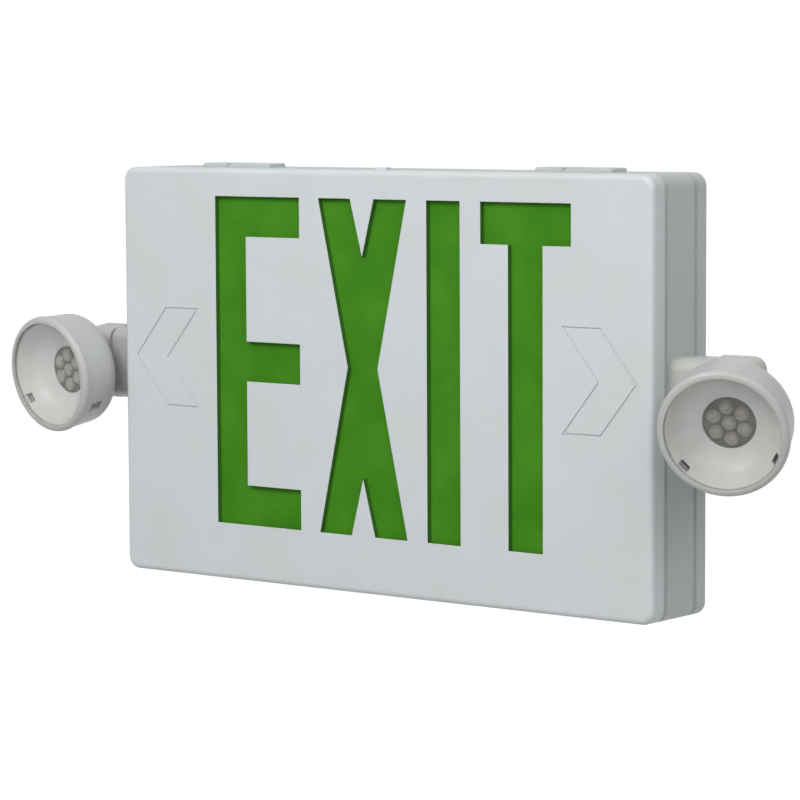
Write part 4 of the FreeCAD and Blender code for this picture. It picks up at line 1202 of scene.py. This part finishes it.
@dataclass
class LampHead(SubAssembly):
    """One aimable lamp: bracket, knuckle and the head with its emitters."""

    side: str = "left"
    joints: Sequence[Mapping[str, Any]] = ()
    bowl_tone: Rgb = (0.715, 0.715, 0.690)
    chip: float = 1.9 * MM
    chip_rise: float = 0.25 * MM
    chip_bevel: float = 0.0625 * MM
    pin_cap_radius: float = 3.5 * MM
    pin_cap_rise: float = 0.45 * MM
    pin_cap_shoulder: float = 0.6
    pin_cap_crown: float = 0.9
    slot_half: float = 0.45 * MM
    slot_reach: float = 0.7
    slot_depth: float = 0.85
    clip: Rgb = (9.0 * MM, 5.6 * MM, 0.5 * MM)
    clip_bevel: float = 0.12 * MM
    clip_angle: float = 35.0
    clip_setback: float = 8.1 * MM
    clip_inset: float = 0.9 * MM
    clip_lean: float = 4.1

    def node(self, name: str) -> str:
        """Return the full name of one of this lamp's nodes."""
        return f"{self.side}_{name}"

    def build(self) -> None:
        """Add the diode faces, the slotted cap of the pivot pin and the snap clips."""
        _, axis = self.disc_axis(self.node("lamp_lens"), OUTWARD)
        holder, _ = self.disc_axis(self.node("emitter_holder"), axis)
        half = self.thickness_along(self.node("emitter_holder"), axis) / 2
        chips = Builder(self.node("emitter_faces"))
        for low, high in self.parts_of(self.node("emitter_domes")):
            centre = (low + high) / 2
            centre -= axis * (centre - holder).dot(axis)
            centre += axis * (half + self.chip_rise / 2)
            chips.block(looking_along(centre, axis),
                        Vector((self.chip, self.chip, self.chip_rise)), self.chip_bevel)
        self.made.append(chips.placed(self.node("head"), Finishes.phosphor.value))
        self.made.append(self.pin_cap())
        self.made.append(self.snap_clips())

    def thickness_along(self, name: str, axis: Vector) -> float:
        """Return a node's extent along an axis."""
        reach = [vert.co.dot(axis) for vert in self.nodes[name].data.vertices]
        return max(reach) - min(reach)

    def upright(self) -> Vector:
        """Return the head's own upright axis, which it pans about."""
        axis = Vector(next(joint["axis"] for joint in self.joints
                           if joint["name"] == self.node("pan")))
        return axis if axis.z > 0 else -axis

    def snap_clips(self) -> bpy.types.Object:
        """Make the two spring clips that close the shell's snap windows; their grey is partly
        painted shade for the shadowed windows.

        Returns:
            The clips, as one piece.
        """
        centre, axis = self.disc_axis(self.node("lamp_lens"), OUTWARD)
        rim = max((vert.co - centre).cross(axis).length
                  for vert in self.nodes[self.node("lamp_lens")].data.vertices)
        level = axis.cross(self.upright()).normalized()
        clips = Builder(self.node("snap_clips"))
        for across in (-1, 1):
            outward = Matrix.Rotation(math.radians(self.clip_angle) * across, 3, axis)
            radial = outward @ (level * across)
            if radial.dot(self.upright()) > 0:
                radial = outward.transposed() @ (level * across)
            lean = Matrix.Rotation(math.radians(self.clip_lean), 3, axis.cross(radial))
            ahead = lean.transposed() @ axis
            out = lean.transposed() @ radial
            turn = Matrix((ahead, out.cross(ahead), out)).transposed().to_4x4()
            spot = centre - axis * self.clip_setback + radial * (rim - self.clip_inset)
            clips.block(Matrix.Translation(spot) @ turn, Vector(self.clip), self.clip_bevel)
        # The clips' grey finish is partly painted shade.
        return clips.placed(self.node("head"), Finishes.clip_shade_grey.value)

    def pin_cap(self) -> bpy.types.Object:
        """Make the slotted outer face of the pivot pin.

        Returns:
            The cap.
        """
        downward = -self.upright()
        points = [vert.co for vert in self.nodes[self.node("pivot_pin")].data.vertices]
        end = max(point.dot(downward) for point in points)
        face = [point for point in points if point.dot(downward) > end - WELD * 10]
        at = looking_along(sum(face, Vector()) / len(face), downward)
        cap = Builder(self.node("pin_cap"))
        radius, rise, half = self.pin_cap_radius, self.pin_cap_rise, self.slot_half
        rim = cap.lathe([(0, 0), (radius, 0), (radius, rise * self.pin_cap_shoulder),
                         (radius * self.pin_cap_crown, rise)], at)
        reach = radius * self.slot_reach
        cap.recess(rim, [(reach, -half), (reach, half), (-reach, half), (-reach, -half)],
                   rise, rise * self.slot_depth, at)
        return cap.placed(self.node("trunnion"), Finishes.screw_steel.value)

    def dress(self) -> None:
        """Coat the lamp's nodes."""
        centre, axis = self.disc_axis(self.node("lamp_lens"), OUTWARD)
        bowl = SatinBowl(self.node("bowl_white"), self.bowl_tone, tuple(centre), tuple(axis))
        self.coat(bowl, self.node("reflector"))
        for finish, names in (
                (Finishes.lamp_white, ("bracket", "knuckle", "head_shell", "head_arm",
                                       "bezel")),
                (Finishes.screw_steel, ("bracket_screws", "retaining_ring", "pivot_pin")),
                (Finishes.clear_lens, ("lamp_lens",)),
                (Finishes.emitter_dark, ("emitter_holder",)),
                (Finishes.emitter_dome, ("emitter_domes",)),
                (Finishes.board_white, ("lamp_board",)),
                (Finishes.heat_sink_metal, ("heat_sink",))):
            self.coat(finish.value, *(self.node(name) for name in names))


# ------------------------------------------------------------------ studio
@dataclass
class Studio:
    """Pale floor, white surround, soft lamps and the camera."""

    floor_level: float = -0.36
    floor_half: float = 9.0
    floor_tone: Rgb = (0.58, 0.58, 0.58)
    ambient: Rgb = (0.285, 0.290, 0.294)
    key_place: Rgb = (0.0, -0.9, 0.7)
    key_share: float = 0.53
    key_size: float = 0.5
    side_place: Rgb = (1.6, -0.5, 1.3)
    side_share: float = 0.22
    fill_place: Rgb = (1.3, -1.6, 0.9)
    fill_share: float = 0.14
    soft_size: float = 1.1
    camera_place: Rgb = (0.945741, -1.223577, 0.133497)
    azimuth: float = 38.21
    elevation: float = 5.31
    roll: float = -0.29
    lens: float = 152.2
    sensor: float = 36.0

    def build(self) -> None:
        """Make the surround, the lamps and the camera."""
        self.surround()
        self.floor()
        self.lamp("key_lamp", self.key_place, self.key_share, self.key_size)
        self.lamp("side_lamp", self.side_place, self.side_share, self.soft_size)
        self.lamp("fill_lamp", self.fill_place, self.fill_share, self.soft_size)
        self.camera()

    def surround(self) -> None:
        """Light the scene evenly and show white to the camera."""
        world = bpy.data.worlds.new("surround")
        bpy.context.scene.world = world
        graph = Graph(world)
        soft, white = (graph.node("ShaderNodeBackground", values={
            "Color": colour, "Strength": 1.0}) for colour in (self.ambient, WHITE))
        mixed = graph.node("ShaderNodeMixShader", values={
            0: seen_directly(graph), 1: soft.outputs[0], 2: white.outputs[0]})
        graph.node("ShaderNodeOutputWorld", values={"Surface": mixed.outputs[0]})

    def floor(self) -> None:
        """Lay the floor well below the light, as under a wall fitting."""
        reach = self.floor_half
        data = bpy.data.meshes.new("studio_floor")
        data.from_pydata([(x, y, self.floor_level) for x, y in (
            (-reach, -reach), (reach, -reach), (reach, reach), (-reach, reach))],
            [], [(0, 1, 2, 3)])
        data.materials.append(StudioFloor("studio_floor", self.floor_tone).material())
        floor = bpy.data.objects.new("studio_floor", data)
        bpy.context.scene.collection.objects.link(floor)

    def lamp(self, name: str, place: Rgb, share: float, size: float) -> None:
        """Add a square soft lamp aimed at the object.

        Args:
            name: The lamp's name.
            place: Where it stands.
            share: Its light on a facing surface, where 1 shows a colour as written.
            size: The length of its sides.
        """
        data = bpy.data.lights.new(name, "AREA")
        data.shape, data.size = "SQUARE", size
        data.energy = math.pi ** 2 * Vector(place).length_squared * share
        made = bpy.data.objects.new(name, data)
        made.matrix_world = looking_along(Vector(place), Vector(place))
        bpy.context.scene.collection.objects.link(made)

    def camera(self) -> None:
        """Place the camera at the viewing angle."""
        turn, lift = math.radians(self.azimuth), math.radians(self.elevation)
        lean = math.radians(self.roll)
        ahead = Vector((-math.sin(turn) * math.cos(lift), math.cos(turn) * math.cos(lift),
                        -math.sin(lift)))
        level = Vector((math.cos(turn), math.sin(turn), 0))
        upright = level.cross(ahead)
        right = level * math.cos(lean) + upright * math.sin(lean)
        top = upright * math.cos(lean) - level * math.sin(lean)
        data = bpy.data.cameras.new("camera")
        data.lens, data.sensor_width = self.lens, self.sensor
        made = bpy.data.objects.new("camera", data)
        axes = Matrix((right, top, -ahead)).transposed().to_4x4()
        made.matrix_world = Matrix.Translation(Vector(self.camera_place)) @ axes
        bpy.context.scene.collection.objects.link(made)
        bpy.context.scene.camera = made


def main() -> None:
    """Build the studio, dress the frame and log the pieces that were built."""
    logging.basicConfig(level=logging.INFO, format="%(name)s: %(message)s")
    bpy.context.scene.view_settings.view_transform = "Standard"
    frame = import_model()
    Studio().build()
    nodes = frame["nodes"]
    assemblies: list[SubAssembly] = [Housing(nodes), LightBox(nodes), Electronics(nodes)]
    assemblies += [LampHead(nodes, side=side, joints=frame["joints"])
                   for side in ("left", "right")]
    for assembly in assemblies:
        assembly.build()
        assembly.dress()
        assembly.report()


if __name__ == "__main__":
    main()
